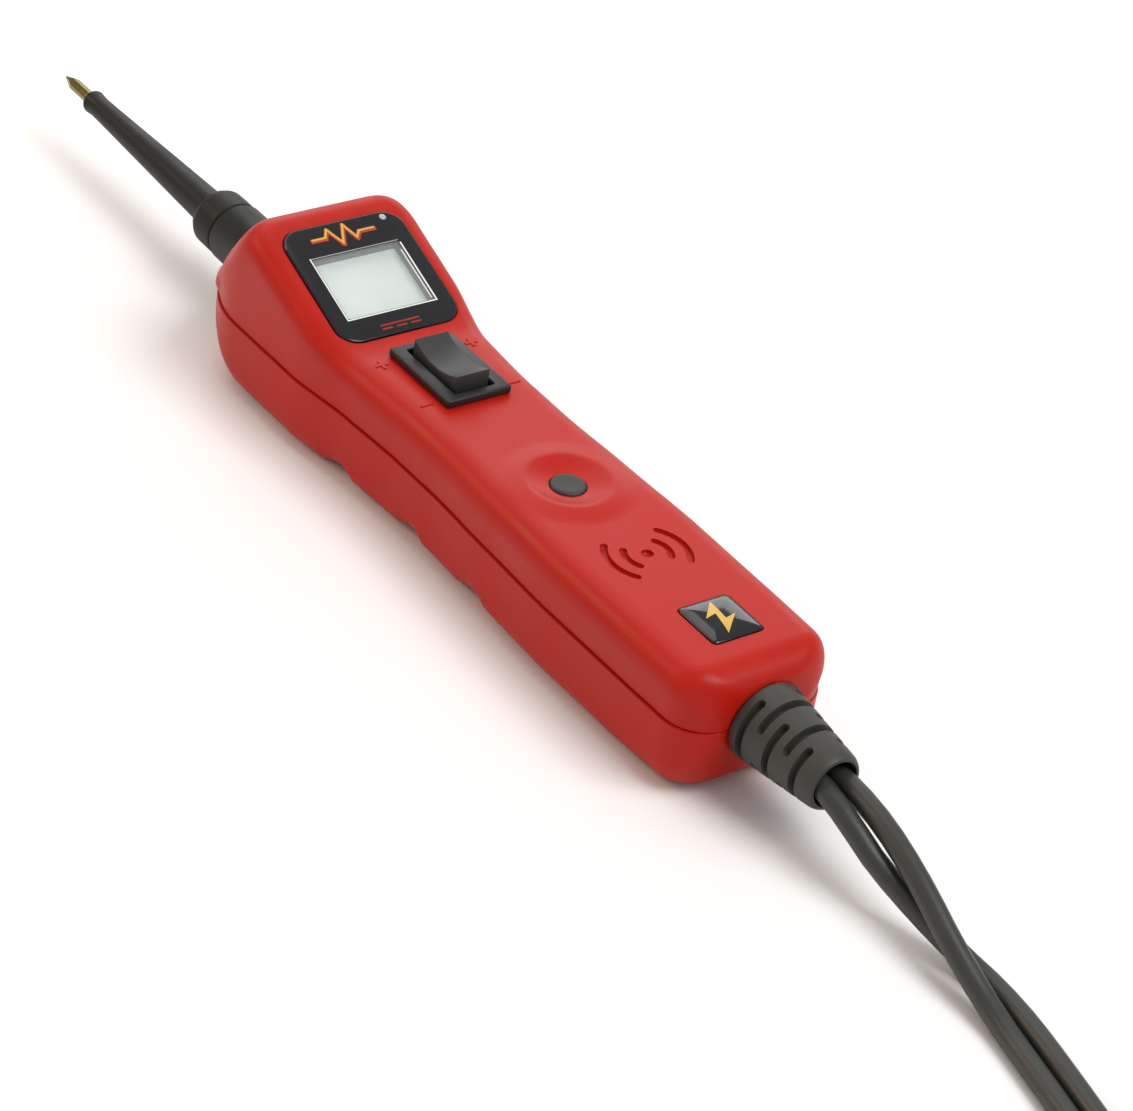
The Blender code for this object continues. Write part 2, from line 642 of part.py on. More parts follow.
def make_display():
    label = plate("display_label", rounded(0, 0, LABEL_LENGTH, LABEL_WIDTH, LABEL_CORNER, 5),
                  -LABEL_SINK + GAP, LABEL_PROUD)
    hole = plate("label_window", rounded(WINDOW_OFFSET, 0, WINDOW_LENGTH, WINDOW_WIDTH, 0.6 * MM, 2),
                 -3 * MM, 3 * MM)
    boolean(label, hole)
    tilted(label, 0.0, 0.0)
    tilted(hole, 0.0, 0.0)
    finish(label, GLOSS_BLACK, 0.12)
    window = plate("display_window", rounded(0, 0, WINDOW_LENGTH - 2 * GAP, WINDOW_WIDTH - 2 * GAP,
                                             0.4 * MM, 2), -LABEL_SINK + GAP, LABEL_PROUD)
    finish(tilted(window, WINDOW_OFFSET, 0.0), GLASS, 0.08)

    def slab(name, length, width, shallow, deep):
        shape = block(name, (-length / 2, -width / 2, -deep), (length / 2, width / 2, -shallow))
        return tilted(shape, WINDOW_OFFSET, 0.0)

    finish(slab("lcd_panel", LCD_LENGTH, LCD_WIDTH, LCD_DROP, LCD_DROP + LCD_THICK), LCD_GREY, 0.2)
    backlight_top = LCD_DROP + LCD_THICK + GAP
    finish(slab("lcd_backlight", LCD_LENGTH, LCD_WIDTH, backlight_top, backlight_top + 1.6 * MM),
           WHITE, 0.5)
    holder = slab("lcd_holder", 21 * MM, 27 * MM, LCD_DROP - 0.5 * MM, HOLDER_DEPTH)
    pocket = slab("holder_pocket", LCD_LENGTH + 2 * GAP, LCD_WIDTH + 2 * GAP, 0.0,
                  backlight_top + 1.6 * MM + GAP)
    boolean(holder, pocket)
    finish(holder, WHITE, 0.5)
    ribbon = block("display_ribbon", (-17.15 * MM, -7 * MM, BOARD_TOP_Z + GAP),
                   (-16.85 * MM, 7 * MM, 23.3 * MM))
    finish(ribbon, GOLD, 0.4)


def make_lights():
    """The polarity light under the label's corner and the two work lights beside the probe."""
    lamp = rod("polarity_led", (0.0, 0.0), 1.2 * MM, -7.5 * MM, -LABEL_SINK - GAP, sides=12)
    lamp.location = (*POLARITY_LED, 0.0)
    bpy.context.view_layer.update()
    finish(tilted(lamp, 0.0, 0.0), WHITE, 0.2)
    profile = ((WORK_LIGHT_X, 0.0), (WORK_LIGHT_X + 0.2 * MM, 0.9 * MM),
               (WORK_LIGHT_X + 1.2 * MM, 1.5 * MM), (WORK_LIGHT_X + 6.0 * MM, 1.5 * MM),
               (WORK_LIGHT_X + 6.0 * MM, 0.0))
    for name, side in (("work_light_right", 1), ("work_light_left", -1)):
        light = turned(name, profile, 12, across=(side * WORK_LIGHT_Y, WORK_LIGHT_Z))
        finish(light, WHITE, 0.1)


def make_switch():
    low_z = 15.4 * MM
    bezel_top = HANDLE_Z + BEZEL_HEIGHT
    frame = block("rocker_frame", (ROCKER_X - BEZEL_LENGTH / 2, -BEZEL_WIDTH / 2, HANDLE_Z + GAP),
                  (ROCKER_X + BEZEL_LENGTH / 2, BEZEL_WIDTH / 2, bezel_top))
    edge = frame.modifiers.new("edge", "BEVEL")
    edge.width = 0.5 * MM
    edge.segments = 1
    boolean(frame, block("switch_body", (ROCKER_X - 9.3 * MM, -6.2 * MM, low_z),
                         (ROCKER_X + 9.3 * MM, 6.2 * MM, HANDLE_Z + 0.8 * MM)), "UNION")
    boolean(frame, block("switch_cavity", (ROCKER_X - ROCKER_SLOT_LENGTH / 2,
                                           -ROCKER_SLOT_WIDTH / 2, 17 * MM),
                         (ROCKER_X + ROCKER_SLOT_LENGTH / 2, ROCKER_SLOT_WIDTH / 2, 32 * MM)))
    boolean(frame, rod("pivot_hole", (ROCKER_X, ROCKER_PIVOT_Z), 1.2 * MM, -8 * MM, 8 * MM, "Y", 16))
    finish(frame, BLACK, 0.4)

    outline = []
    for step in range(9):
        x = ROCKER_LENGTH / 2 * (step / 4 - 1)
        dip = ROCKER_DIP * (1 - (2 * x / ROCKER_LENGTH) ** 2)
        outline.append((x, ROCKER_TOP_Z - dip))
    outline += [(7.4 * MM, 27.6 * MM), (6.6 * MM, 25.0 * MM), (3.4 * MM, 23.0 * MM),
                (-3.4 * MM, 23.0 * MM), (-6.6 * MM, 25.0 * MM), (-7.4 * MM, 27.6 * MM)]
    outline = [(x, z - ROCKER_PIVOT_Z) for x, z in outline]
    button = plate("rocker_button", outline, -ROCKER_WIDTH / 2, ROCKER_WIDTH / 2)
    pins = rod("pivot_pins", (0.0, 0.0), 1.0 * MM, -5.9 * MM, 5.9 * MM, "Z", 16)
    boolean(button, pins, "UNION")
    for shape in (button, pins):
        shape.matrix_world = (Matrix.Translation((ROCKER_X, 0.0, ROCKER_PIVOT_Z))
                              @ Matrix.Rotation(math.pi / 2, 4, "X"))
    finish(button, BLACK, 0.5)
    plunger = turned("rocker_plunger", ((18.6 * MM, 0.0), (18.9 * MM, 1.2 * MM),
                                        (22.7 * MM, 1.2 * MM), (22.7 * MM, 0.0)), 12)
    plunger.rotation_euler = (0.0, 0.0, 0.0)
    plunger.location = (ROCKER_X, 0.0, 0.0)
    finish(plunger, WHITE, 0.4)
    axis = Matrix.Translation((ROCKER_X, 0.0, ROCKER_PIVOT_Z))
    pivot_at("rocker_pivot", axis, button, plunger)
    contact = block("switch_contact", (ROCKER_X - 7 * MM, -2.5 * MM, 17.3 * MM),
                    (ROCKER_X + 7 * MM, 2.5 * MM, 17.9 * MM))
    finish(contact, BRASS, 0.3, 1.0)
    for number, x in enumerate(SWITCH_PINS, 1):
        pin = block(f"switch_terminal_{number}",
                    (ROCKER_X + x - 0.4 * MM, -1.0 * MM, BOARD_TOP_Z + GAP),
                    (ROCKER_X + x + 0.4 * MM, 1.0 * MM, low_z - GAP))
        finish(pin, BRASS, 0.3, 1.0)


def make_button_and_speaker():
    cap = ((17.9 * MM, 0.0), (17.9 * MM, 2.0 * MM), (22.2 * MM, 2.0 * MM), (22.2 * MM, 5.0 * MM),
           (23.1 * MM, 5.0 * MM), (23.1 * MM, BUTTON_RADIUS), (26.2 * MM, BUTTON_RADIUS),
           (26.6 * MM, BUTTON_RADIUS - 0.7 * MM), (26.75 * MM, 0.0))
    finish(upright("mode_button", BUTTON_X, 0.0, cap), BLACK, 0.5)
    switch = block("mode_switch", (BUTTON_X - 3 * MM, -3 * MM, BOARD_TOP_Z + GAP),
                   (BUTTON_X + 3 * MM, 3 * MM, 16.5 * MM))
    boolean(switch, rod("switch_stem", (BUTTON_X, 0.0), 1.7 * MM, 16 * MM, 17.2 * MM, sides=12),
            "UNION")
    finish(switch, BLACK, 0.4)
    cone = ((17.0 * MM, 0.0), (17.0 * MM, 5.0 * MM), (19.4 * MM, 5.0 * MM),
            (19.8 * MM, SPEAKER_RADIUS), (24.5 * MM, SPEAKER_RADIUS),
            (24.5 * MM, SPEAKER_RADIUS - 1.2 * MM), (22.8 * MM, 3.0 * MM), (23.2 * MM, 0.0))
    finish(upright("speaker", SPEAKER_X, 0.0, cone), BLACK, 0.5)
    badge = plate("badge", rounded(BADGE_X, 0.0, BADGE_SIZE, BADGE_SIZE, 1.0 * MM, 2),
                  HANDLE_Z - 0.2 * MM, HANDLE_Z + 0.7 * MM)
    finish(badge, GLOSS_BLACK, 0.1)


def make_board():
    low = BOARD_TOP_Z - BOARD_THICK
    board = block("circuit_board", (BOARD_FROM_X, -BOARD_WIDTH / 2, low),
                  (BOARD_TO_X, BOARD_WIDTH / 2, BOARD_TOP_Z))
    for x in BOARD_SCREWS_X:
        boolean(board, rod("board_hole", (x, 0.0), 1.5 * MM, 5 * MM, 20 * MM, sides=12))
    finish(board, BOARD_GREEN, 0.4)
    chip = block("main_chip", (CHIP_X - CHIP_SIZE / 2, -CHIP_SIZE / 2, BOARD_TOP_Z + GAP),
                 (CHIP_X + CHIP_SIZE / 2, CHIP_SIZE / 2, BOARD_TOP_Z + CHIP_HEIGHT))
    finish(chip, BLACK, 0.5)
    breaker = block("circuit_breaker", (62 * MM, -7 * MM, 2.6 * MM), (86 * MM, 7 * MM, low - GAP))
    edge = breaker.modifiers.new("edge", "BEVEL")
    edge.width = 0.8 * MM
    edge.segments = 1
    finish(breaker, WHITE, 0.5)
    wire_route = ((-39.6, 0, 15.6), (-34, 1.5, 15.6), (-27, 6.0, 15.0), (-21, 9.3, 14.2),
                  (-14.5, 9.6, 13.9))
    finish(tube("tip_wire", smooth(wire_route, 2.5 * MM), 0.9 * MM, 1), CLIP_RED, 0.5)
    for name, side, colour in (("positive_wire", 1, CLIP_RED), ("negative_wire", -1, BLACK)):
        route = ((121.9, 2.3 * side, 15.6), (113, 2.3 * side, 15.6), (106, 3.2 * side, 15.2),
                 (99, 4.4 * side, 14.2), (93, 4.8 * side, 14.0))
        finish(tube(name, smooth(route, 3 * MM), 1.0 * MM, 1), colour, 0.5)


def make_probe():
    """The probe's brass tip, its insulating sleeve, and the collar and socket that hold them."""
    tip = ((TIP_X, 0.0), (-133.05 * MM, PROBE_RADIUS), (-64.8 * MM, PROBE_RADIUS),
           (-64.4 * MM, 1.9 * MM), (-46 * MM, 1.9 * MM), (-45 * MM, 1.0 * MM), (-45 * MM, 0.0))
    finish(turned("probe_tip", tip, 16), BRASS, 0.25, 1.0)
    bore = PROBE_RADIUS + GAP
    sleeve = ((-125.95 * MM, bore), (-125.8 * MM, 2.2 * MM), (-125.1 * MM, 2.6 * MM),
              (-123.6 * MM, 2.65 * MM), (-122.2 * MM, 2.5 * MM), (-99.0 * MM, 3.15 * MM),
              (-74.5 * MM, 3.9 * MM), (-73.3 * MM, 4.5 * MM), (-72.8 * MM, 5.4 * MM),
              (-71.4 * MM, 6.15 * MM), (-69.8 * MM, 6.4 * MM), (-65.3 * MM, 6.45 * MM),
              (-65.3 * MM, bore))
    finish(turned("probe_sleeve", sleeve, 20, loop=True), RUBBER, 0.6)
    bore = SOCKET_RADIUS + GAP
    collar = ((-65.0 * MM, bore), (-65.0 * MM, 6.5 * MM), (-64.6 * MM, COLLAR_RADIUS),
              (-47.0 * MM, COLLAR_RADIUS), (-46.6 * MM, 8.2 * MM), (-44.4 * MM, 8.2 * MM),
              (-44.0 * MM, 5.0 * MM), (-41.0 * MM, 5.0 * MM), (-41.0 * MM, bore))
    finish(turned("nose_collar", collar, 20, loop=True), RUBBER, 0.6)
    socket = ((-61 * MM, 2.2 * MM), (-61 * MM, SOCKET_RADIUS), (-40 * MM, SOCKET_RADIUS),
              (-40 * MM, 2.2 * MM))
    finish(turned("tip_socket", socket, 16, loop=True), BRASS, 0.3, 1.0)


def relief_radius(x):
    share = (x - TAIL_X) / (RELIEF_END_X - TAIL_X)
    return RELIEF_BASE_RADIUS + (RELIEF_END_RADIUS - RELIEF_BASE_RADIUS) * share


def make_strain_relief():
    base = TAIL_X + GAP
    neck = RELIEF_BASE_RADIUS - 1.0 * MM
    profile = ((111.2 * MM, RELIEF_BORE), (111.2 * MM, 7.8 * MM), (113.0 * MM, 7.8 * MM),
               (113.4 * MM, neck), (base, neck), (base, RELIEF_BASE_RADIUS - 0.4 * MM),
               (base + 0.4 * MM, RELIEF_BASE_RADIUS),
               (RELIEF_END_X - 0.8 * MM, relief_radius(RELIEF_END_X - 0.8 * MM)),
               (RELIEF_END_X, RELIEF_END_RADIUS - 0.7 * MM), (RELIEF_END_X, RELIEF_BORE))
    relief = turned("strain_relief", profile, 20, loop=True)
    slots = []
    for row in range(RELIEF_RINGS):
        x = TAIL_X + 2.9 * MM + row * RELIEF_PITCH
        outer = relief_radius(x) + 1 * MM
        inner = relief_radius(x) - RELIEF_SLOT_DEPTH
        for side in (0, 1):
            middle = math.pi * side + (0.0 if row % 2 == 0 else math.pi / 2)
            slot = arc_slot("slot", 0.0, 0.0, (outer + inner) / 2, outer - inner, middle,
                            math.radians(64), -RELIEF_SLOT / 2, RELIEF_SLOT / 2, 4)
            slot.matrix_world = (Matrix.Translation((x, 0.0, AXIS_Z))
                                 @ Matrix.Rotation(math.pi / 2, 4, "X")
                                 @ Matrix.Rotation(math.pi / 2, 4, "Y"))
            slots.append(slot)
    bpy.context.view_layer.update()
    boolean(relief, joined("relief_slots", slots))
    finish(relief, RUBBER, 0.6)


def make_leads():
    radius = LEAD / 2
    for name, route in (("positive_lead", POSITIVE_ROUTE), ("negative_lead", NEGATIVE_ROUTE),
                        ("positive_lead_tail", POSITIVE_TAIL),
                        ("negative_lead_tail", NEGATIVE_TAIL)):
        finish(tube(name, smooth(route, 2.2 * LEAD), radius), RUBBER, 0.6)
    corner = 2 * MM
    ring = ((COIL_LOW, COIL_INNER + corner), (COIL_LOW, COIL_OUTER - corner),
            (COIL_LOW + corner, COIL_OUTER), (COIL_HIGH - corner, COIL_OUTER),
            (COIL_HIGH, COIL_OUTER - corner), (COIL_HIGH, COIL_INNER + corner),
            (COIL_HIGH - corner, COIL_INNER), (COIL_LOW + corner, COIL_INNER))
    coil = turned("lead_coil", ring, 32, loop=True)
    coil.rotation_euler = (0.0, 0.0, 0.0)
    coil.location = (*COIL_CENTRE, 0.0)
    finish(coil, RUBBER, 0.6)
    for number, angle in enumerate(TIE_ANGLES, 1):
        inner = COIL_INNER - 1.3 * MM
        outer = COIL_OUTER + GAP
        low = TIE_THICK + 0.02 * MM
        high = COIL_HIGH + GAP
        strap = block(f"coil_tie_{number}", (inner - TIE_THICK, -TIE_WIDTH / 2, 0.02 * MM),
                      (outer + TIE_THICK, TIE_WIDTH / 2, high + TIE_THICK))
        inside = block("tie_inside", (inner, -TIE_WIDTH, low), (outer, TIE_WIDTH, high))
        turn = (Matrix.Translation((*COIL_CENTRE, 0.0)) @ Matrix.Rotation(angle, 4, "Z"))
        for shape in (strap, inside):
            shape.matrix_world = turn
        finish(boolean(strap, inside), BLACK, 0.8)


def clip_outline(side):
    """One half of a clip in plan, in millimetres from its pivot: jaw at +X, handle at -X."""
    teeth = [(CLIP_JAW - 2.5 * i - 1.2 * j, -0.3 - 1.1 * j) for i in range(11) for j in (0, 1)]
    ear = [(6.5, 0.8), (4.4, 3.2), (0.0, 4.2), (-4.2, 3.2), (-6.4, 0.0)]
    handle = [(-8.0, -5.0), (-42.0, -15.4), (-41.0, -18.9), (-8.0, -8.8)]
    back = [(2.0, -8.4), (14.0, -7.6), (30.0, -5.0), (36.5, -2.2)]
    return [(x * MM, -side * y * MM) for x, y in teeth + ear + handle + back]


def clip_hollow(side):
    """What is cut from inside a half so that sheet metal is left along its back."""
    points = [(-46.0, -19.3), (-8.0, -7.8), (2.0, -7.4), (14.0, -6.6), (30.0, -4.0), (33.5, -2.4),
              (33.5, 9.0), (-46.0, 9.0)]
    return [(x * MM, -side * y * MM) for x, y in points]


def make_clip(name, colour):
    x, y = CLIP_PIVOTS[name]
    place = Matrix.Translation((x, y, CLIP_BASE)) @ Matrix.Rotation(math.pi, 4, "Z")
    halves = (("lower", -1, CLIP_FIXED_Z), ("upper", 1, CLIP_MOVING_Z))
    for half, side, (low, high) in halves:
        jaw = plate(f"{name}_{half}_jaw", clip_outline(side), low, high)
        hollow = plate("hollow", clip_hollow(side), low + CLIP_SHEET, high - CLIP_SHEET)
        hole = rod("rivet_hole", (0.0, 0.0), 2.35 * MM, 0.0, CLIP_HEIGHT, sides=16)
        for cutter in (hollow, hole):
            boolean(jaw, cutter)
            cutter.matrix_world = place @ cutter.matrix_world
        jaw.matrix_world = place @ jaw.matrix_world
        finish(jaw, STEEL, 0.3, 1.0)
        grip = make_grip(f"{name}_{half}_grip", side, low - GAP, high + GAP, place)
        finish(grip, colour, 0.4)
    pivot_at(f"{name}_clip_pivot", place, jaw, grip)
    rivet = upright(f"{name}_rivet", x, y,
                    ((0.9 * MM, 0.0), (0.9 * MM, 3.0 * MM), (1.6 * MM, 3.2 * MM),
                     (1.6 * MM, 2.0 * MM), (13.4 * MM, 2.0 * MM), (13.4 * MM, 3.2 * MM),
                     (14.1 * MM, 3.0 * MM), (14.1 * MM, 0.0)), 16)
    rivet.location.z = CLIP_BASE
    finish(rivet, STEEL, 0.3, 1.0)
    make_clip_spring(f"{name}_spring", place)


def make_clip_spring(name, place):
    """A torsion spring round the rivet, with a leg towards each handle."""
    turns, per_turn, reach, leg = 3, 10, 2.95 * MM, (-8.0 * MM, 2.9 * MM)
    start, total = math.radians(160), 2 * math.pi * turns + math.radians(40)
    low, rise = 5.6 * MM, 3.8 * MM
    count = turns * per_turn
    wire = [Vector((*leg, low))]
    for i in range(count + 1):
        angle = start + total * i / count
        wire.append(Vector((reach * math.cos(angle), reach * math.sin(angle), low + rise * i / count)))
    wire.append(Vector((leg[0], -leg[1], low + rise)))
    finish(tube(name, [place @ point for point in wire], 0.45 * MM, 1), STEEL, 0.3, 1.0)


def make_grip(name, side, low, high, place):
    """A vinyl sleeve over one handle, open towards the pivot."""
    along = Matrix.Translation((-8.0 * MM, side * 6.9 * MM, 0.0))
    along = along @ Matrix.Rotation(math.pi - side * CLIP_HANDLE_ANGLE, 4, "Z")
    grip = plate(name, rounded(21.1 * MM, 0.0, 34.2 * MM, 6.8 * MM, 2.2 * MM, 3), 0.1 * MM,
                 CLIP_HEIGHT - 0.1 * MM)
    inside = block("grip_inside", (0.0, -2.2 * MM, low), (36.4 * MM, 2.2 * MM, high))
    boolean(grip, inside)
    for shape in (grip, inside):
        shape.matrix_world = place @ along @ shape.matrix_world
    return grip


def main():
    global parts, cutters
    for obj in list(bpy.data.objects):
        bpy.data.objects.remove(obj)
    parts = bpy.data.collections.new("circuit_test_light")
    cutters = bpy.data.collections.new("cutters")
    bpy.context.scene.collection.children.link(parts)
    bpy.context.scene.collection.children.link(cutters)
    make_top_cover()
    make_bottom_cover()
    make_screws()
    make_display()
    make_lights()
    make_switch()
    make_button_and_speaker()
    make_board()
    make_probe()
    make_strain_relief()
    make_leads()
    make_clip("positive", CLIP_RED)
    make_clip("negative", BLACK)


main()
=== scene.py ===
"""The looks of a hand-held powered circuit tester, its battery leads and their clips.

X runs along the tool from the probe's point (-X) to the leads (+X), Y across it, Z up.
"""
import math

import bmesh
import bpy
from mathutils import Matrix, Vector


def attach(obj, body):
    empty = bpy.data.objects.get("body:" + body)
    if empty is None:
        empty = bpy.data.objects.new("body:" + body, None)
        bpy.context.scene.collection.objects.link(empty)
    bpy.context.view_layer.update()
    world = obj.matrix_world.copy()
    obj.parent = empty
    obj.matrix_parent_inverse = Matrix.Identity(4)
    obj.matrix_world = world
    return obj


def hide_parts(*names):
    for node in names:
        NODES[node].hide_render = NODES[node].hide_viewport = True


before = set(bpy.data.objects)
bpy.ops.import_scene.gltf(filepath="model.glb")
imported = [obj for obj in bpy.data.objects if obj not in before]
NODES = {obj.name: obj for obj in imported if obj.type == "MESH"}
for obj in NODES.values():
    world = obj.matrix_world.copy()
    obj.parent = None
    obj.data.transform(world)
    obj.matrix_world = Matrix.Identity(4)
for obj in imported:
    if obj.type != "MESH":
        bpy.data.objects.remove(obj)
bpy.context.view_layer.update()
MM = 0.001


def link(obj):
    bpy.context.scene.collection.objects.link(obj)
    return obj


def filled(node, values):
    """Set some of a shader node's inputs."""
    for name, value in values.items():
        node.inputs[name].default_value = value
    return node


# ---- camera, floor and lights
VIEW_CENTRE = Vector((13.05, 0.0, 27.0)) * MM
VIEW_AZIMUTH = math.radians(48.69)
VIEW_ELEVATION = math.radians(34.66)
VIEW_ROLL = math.radians(9.91)
VIEW_DISTANCE = 706.12 * MM
VIEW_PAN = (22.96 * MM, -35.46 * MM)
LENS_MM = 115.03
FLOOR_REACH = 6.0
LIGHT_AIM = (0.05, 0.0, 0.0)


def view_axes():
    """The camera's right, up and backward directions."""
    a, e, r = VIEW_AZIMUTH, VIEW_ELEVATION, VIEW_ROLL
    back = Vector((math.sin(a) * math.cos(e), -math.cos(a) * math.cos(e), math.sin(e)))
    level = Vector((0.0, 0.0, 1.0)).cross(back).normalized()
    rise = back.cross(level)
    right = math.cos(r) * level + math.sin(r) * rise
    up = -math.sin(r) * level + math.cos(r) * rise
    return right, up, back


def make_camera():
    right, up, back = view_axes()
    data = bpy.data.cameras.new("camera")
    data.lens = LENS_MM
    data.sensor_width = 36.0
    data.clip_start = 0.01
    camera = link(bpy.data.objects.new("camera", data))
    place = VIEW_CENTRE + VIEW_PAN[0] * right + VIEW_PAN[1] * up + VIEW_DISTANCE * back
    turn = Matrix((right, up, back)).transposed().to_4x4()
    camera.matrix_world = Matrix.Translation(place) @ turn
    bpy.context.scene.camera = camera


def area_light(name, place, aim, size, power, colour=(1.0, 1.0, 1.0)):
    data = bpy.data.lights.new(name, "AREA")
    data.shape = "RECTANGLE"
    data.size, data.size_y = size
    data.energy = power
    data.color = colour
    light = link(bpy.data.objects.new(name, data))
    light.location = place
    light.rotation_euler = (Vector(aim) - Vector(place)).to_track_quat("-Z", "Y").to_euler()


def make_studio():
    """A pale paper floor, an even white surround and four soft lights."""
    floor_mesh = bpy.data.meshes.new("floor")
    signs = ((-1, -1), (1, -1), (1, 1), (-1, 1))
    floor_mesh.from_pydata([(x * FLOOR_REACH, y * FLOOR_REACH, 0) for x, y in signs], [],
                           [(0, 1, 2, 3)])
    floor = link(bpy.data.objects.new("floor", floor_mesh))
    paper = bpy.data.materials.new("floor_paper")
    paper.use_nodes = True
    filled(paper.node_tree.nodes["Principled BSDF"],
           {"Base Color": (0.86, 0.86, 0.855, 1.0), "Roughness": 0.9})
    floor_mesh.materials.append(paper)
    world = bpy.data.worlds.new("studio")
    world.use_nodes = True
    filled(world.node_tree.nodes["Background"], {"Color": (1.0, 1.0, 1.0, 1.0), "Strength": 0.52})
    bpy.context.scene.world = world
    bpy.context.scene.view_settings.view_transform = "Standard"
    area_light("front", (-0.64, 0.12, 1.0), LIGHT_AIM, (0.8, 0.8), 3.0)
    area_light("key", (0.62, 0.26, 1.0), LIGHT_AIM, (0.6, 0.6), 8.5)
    area_light("far_side", (-0.74, 0.65, 0.45), (0.0, 0.0, 0.02), (0.9, 0.4), 2.6)
    area_light("warm_side", (-0.62, -0.60, 0.57), LIGHT_AIM, (0.4, 0.3), 2.4, (1.0, 0.68, 0.42))


# ---- mesh helpers
def from_bmesh(name, bm):
    bmesh.ops.recalc_face_normals(bm, faces=bm.faces)
    mesh = bpy.data.meshes.new(name)
    bm.to_mesh(mesh)
    bm.free()
    return link(bpy.data.objects.new(name, mesh))


def applied(obj):
    """The object with its modifiers made part of its mesh, at the world's origin."""
    graph = bpy.context.evaluated_depsgraph_get()
    graph.update()
    mesh = bpy.data.meshes.new_from_object(obj.evaluated_get(graph))
    mesh.transform(obj.matrix_world)
    name = obj.name
    bpy.data.objects.remove(obj)
    return link(bpy.data.objects.new(name, mesh))


def arc_of(centre, radius, start, stop, steps):
    """Points on an arc between two angles in degrees."""
    angles = [math.radians(start + (stop - start) * i / steps) for i in range(steps + 1)]
    return [(centre[0] + radius * math.cos(a), centre[1] + radius * math.sin(a)) for a in angles]


def loft(name, rings):
    """A skin over rings with equal counts of points, with flat ends."""
    bm = bmesh.new()
    rows = [[bm.verts.new(p) for p in ring] for ring in rings]
    for a, b in zip(rows, rows[1:]):
        for i in range(len(a)):
            j = (i + 1) % len(a)
            bm.faces.new((a[i], a[j], b[j], b[i]))
    bm.faces.new(rows[0])
    bm.faces.new(rows[-1])
    return from_bmesh(name, bm)


def block(name, low, high):
    bm = bmesh.new()
    low, high = Vector(low), Vector(high)
    place = Matrix.Translation((low + high) / 2) @ Matrix.Diagonal((*(high - low), 1.0))
    bmesh.ops.create_cube(bm, size=1.0, matrix=place)
    return from_bmesh(name, bm)


def rod(name, centre, radius, low, high, axis="Z", sides=48):
    """A cylinder along X or Z; centre holds its two other coordinates."""
    middle = (low + high) / 2
    if axis == "X":
        place = Matrix.Translation((middle, *centre)) @ Matrix.Rotation(math.pi / 2, 4, "Y")
    else:
        place = Matrix.Translation((*centre, middle))
    bm = bmesh.new()
    bmesh.ops.create_cone(bm, cap_ends=True, segments=sides, radius1=radius, radius2=radius,
                          depth=high - low, matrix=place)
    return from_bmesh(name, bm)


def extruded(name, outline, low, high):
    """A flat outline in XY, raised from low to high."""
    return loft(name, [[(x, y, z) for x, y in outline] for z in (low, high)])


def turned(name, profile, steps=64, loop=False, centre=(0.0, 0.0), axis="X"):
    """A (place, radius) profile turned about X or Z; a loop joins its last point to its first."""
    bm = bmesh.new()
    rows = []
    for place, radius in profile:
        ring = arc_of((0.0, 0.0), radius, 0, 360, steps)[:-1] if radius > 1e-9 else [(0.0, 0.0)]
        rows.append([bm.verts.new((*point, place)) for point in ring])
    pairs = list(zip(rows, rows[1:])) + ([(rows[-1], rows[0])] if loop else [])
    for a, b in pairs:
        for i in range(steps):
            j = (i + 1) % steps
            corners = [a[i % len(a)], a[j % len(a)], b[j % len(b)], b[i % len(b)]]
            bm.faces.new(list(dict.fromkeys(corners)))
    if axis == "X":
        place = Matrix(((0, 0, 1, 0), (1, 0, 0, centre[0]), (0, 1, 0, centre[1]), (0, 0, 0, 1)))
    else:
        place = Matrix.Translation((*centre, 0.0))
    bmesh.ops.transform(bm, matrix=place, verts=bm.verts)
    return from_bmesh(name, bm)


def rounded(centre, length, width, corner, steps=8):
    """The outline of a rectangle with round corners."""
    outline = []
    for quarter, (sx, sy) in enumerate(((1, 1), (-1, 1), (-1, -1), (1, -1))):
        middle = (centre[0] + sx * (length / 2 - corner), centre[1] + sy * (width / 2 - corner))
        outline += arc_of(middle, corner, 90 * quarter, 90 * quarter + 90, steps)
    return outline


def cut(obj, cutters, operation="DIFFERENCE"):
    """Cut every cutter from obj, or join them to it, in one exact Boolean."""
    tool = joined("cutters", cutters) if len(cutters) > 1 else cutters[0]
    made = obj.modifiers.new(operation.lower(), "BOOLEAN")
    made.operation = operation
    made.solver = "EXACT"
    made.object = tool
    result = applied(obj)
    bpy.data.objects.remove(tool)
    return result


def joined(name, objects):
    bm = bmesh.new()
    for obj in objects:
        mesh = obj.data.copy()
        mesh.transform(obj.matrix_world)
        bm.from_mesh(mesh)
        bpy.data.objects.remove(obj)
    return from_bmesh(name, bm)


def add_bevel(obj, width, segments=2, angle=30):
    edge = obj.modifiers.new("edge", "BEVEL")
    edge.width = width
    edge.segments = segments
    edge.limit_method = "ANGLE"
    edge.angle_limit = math.radians(angle)


def bevelled(obj, width, segments=2, angle=30):
    add_bevel(obj, width, segments, angle)
    return applied(obj)


def smoothed(obj, angle=30):
    obj.data.shade_smooth()
    obj.data.set_sharp_from_angle(angle=math.radians(angle))
    return obj


def curve_piece(name, points, radius):
    """A round wire through points as one open curve with closed ends."""
    data = bpy.data.curves.new(name, "CURVE")
    data.dimensions = "3D"
    data.bevel_depth = radius
    data.bevel_resolution = 4
    data.use_fill_caps = True
    spline = data.splines.new("POLY")
    spline.points.add(len(points) - 1)
    for point, place in zip(spline.points, points):
        point.co = (*place, 1.0)
    spline.use_smooth = True
    return link(bpy.data.objects.new(name, data))


def dress(obj, look):
    obj.data.materials.clear()
    obj.data.materials.append(look)


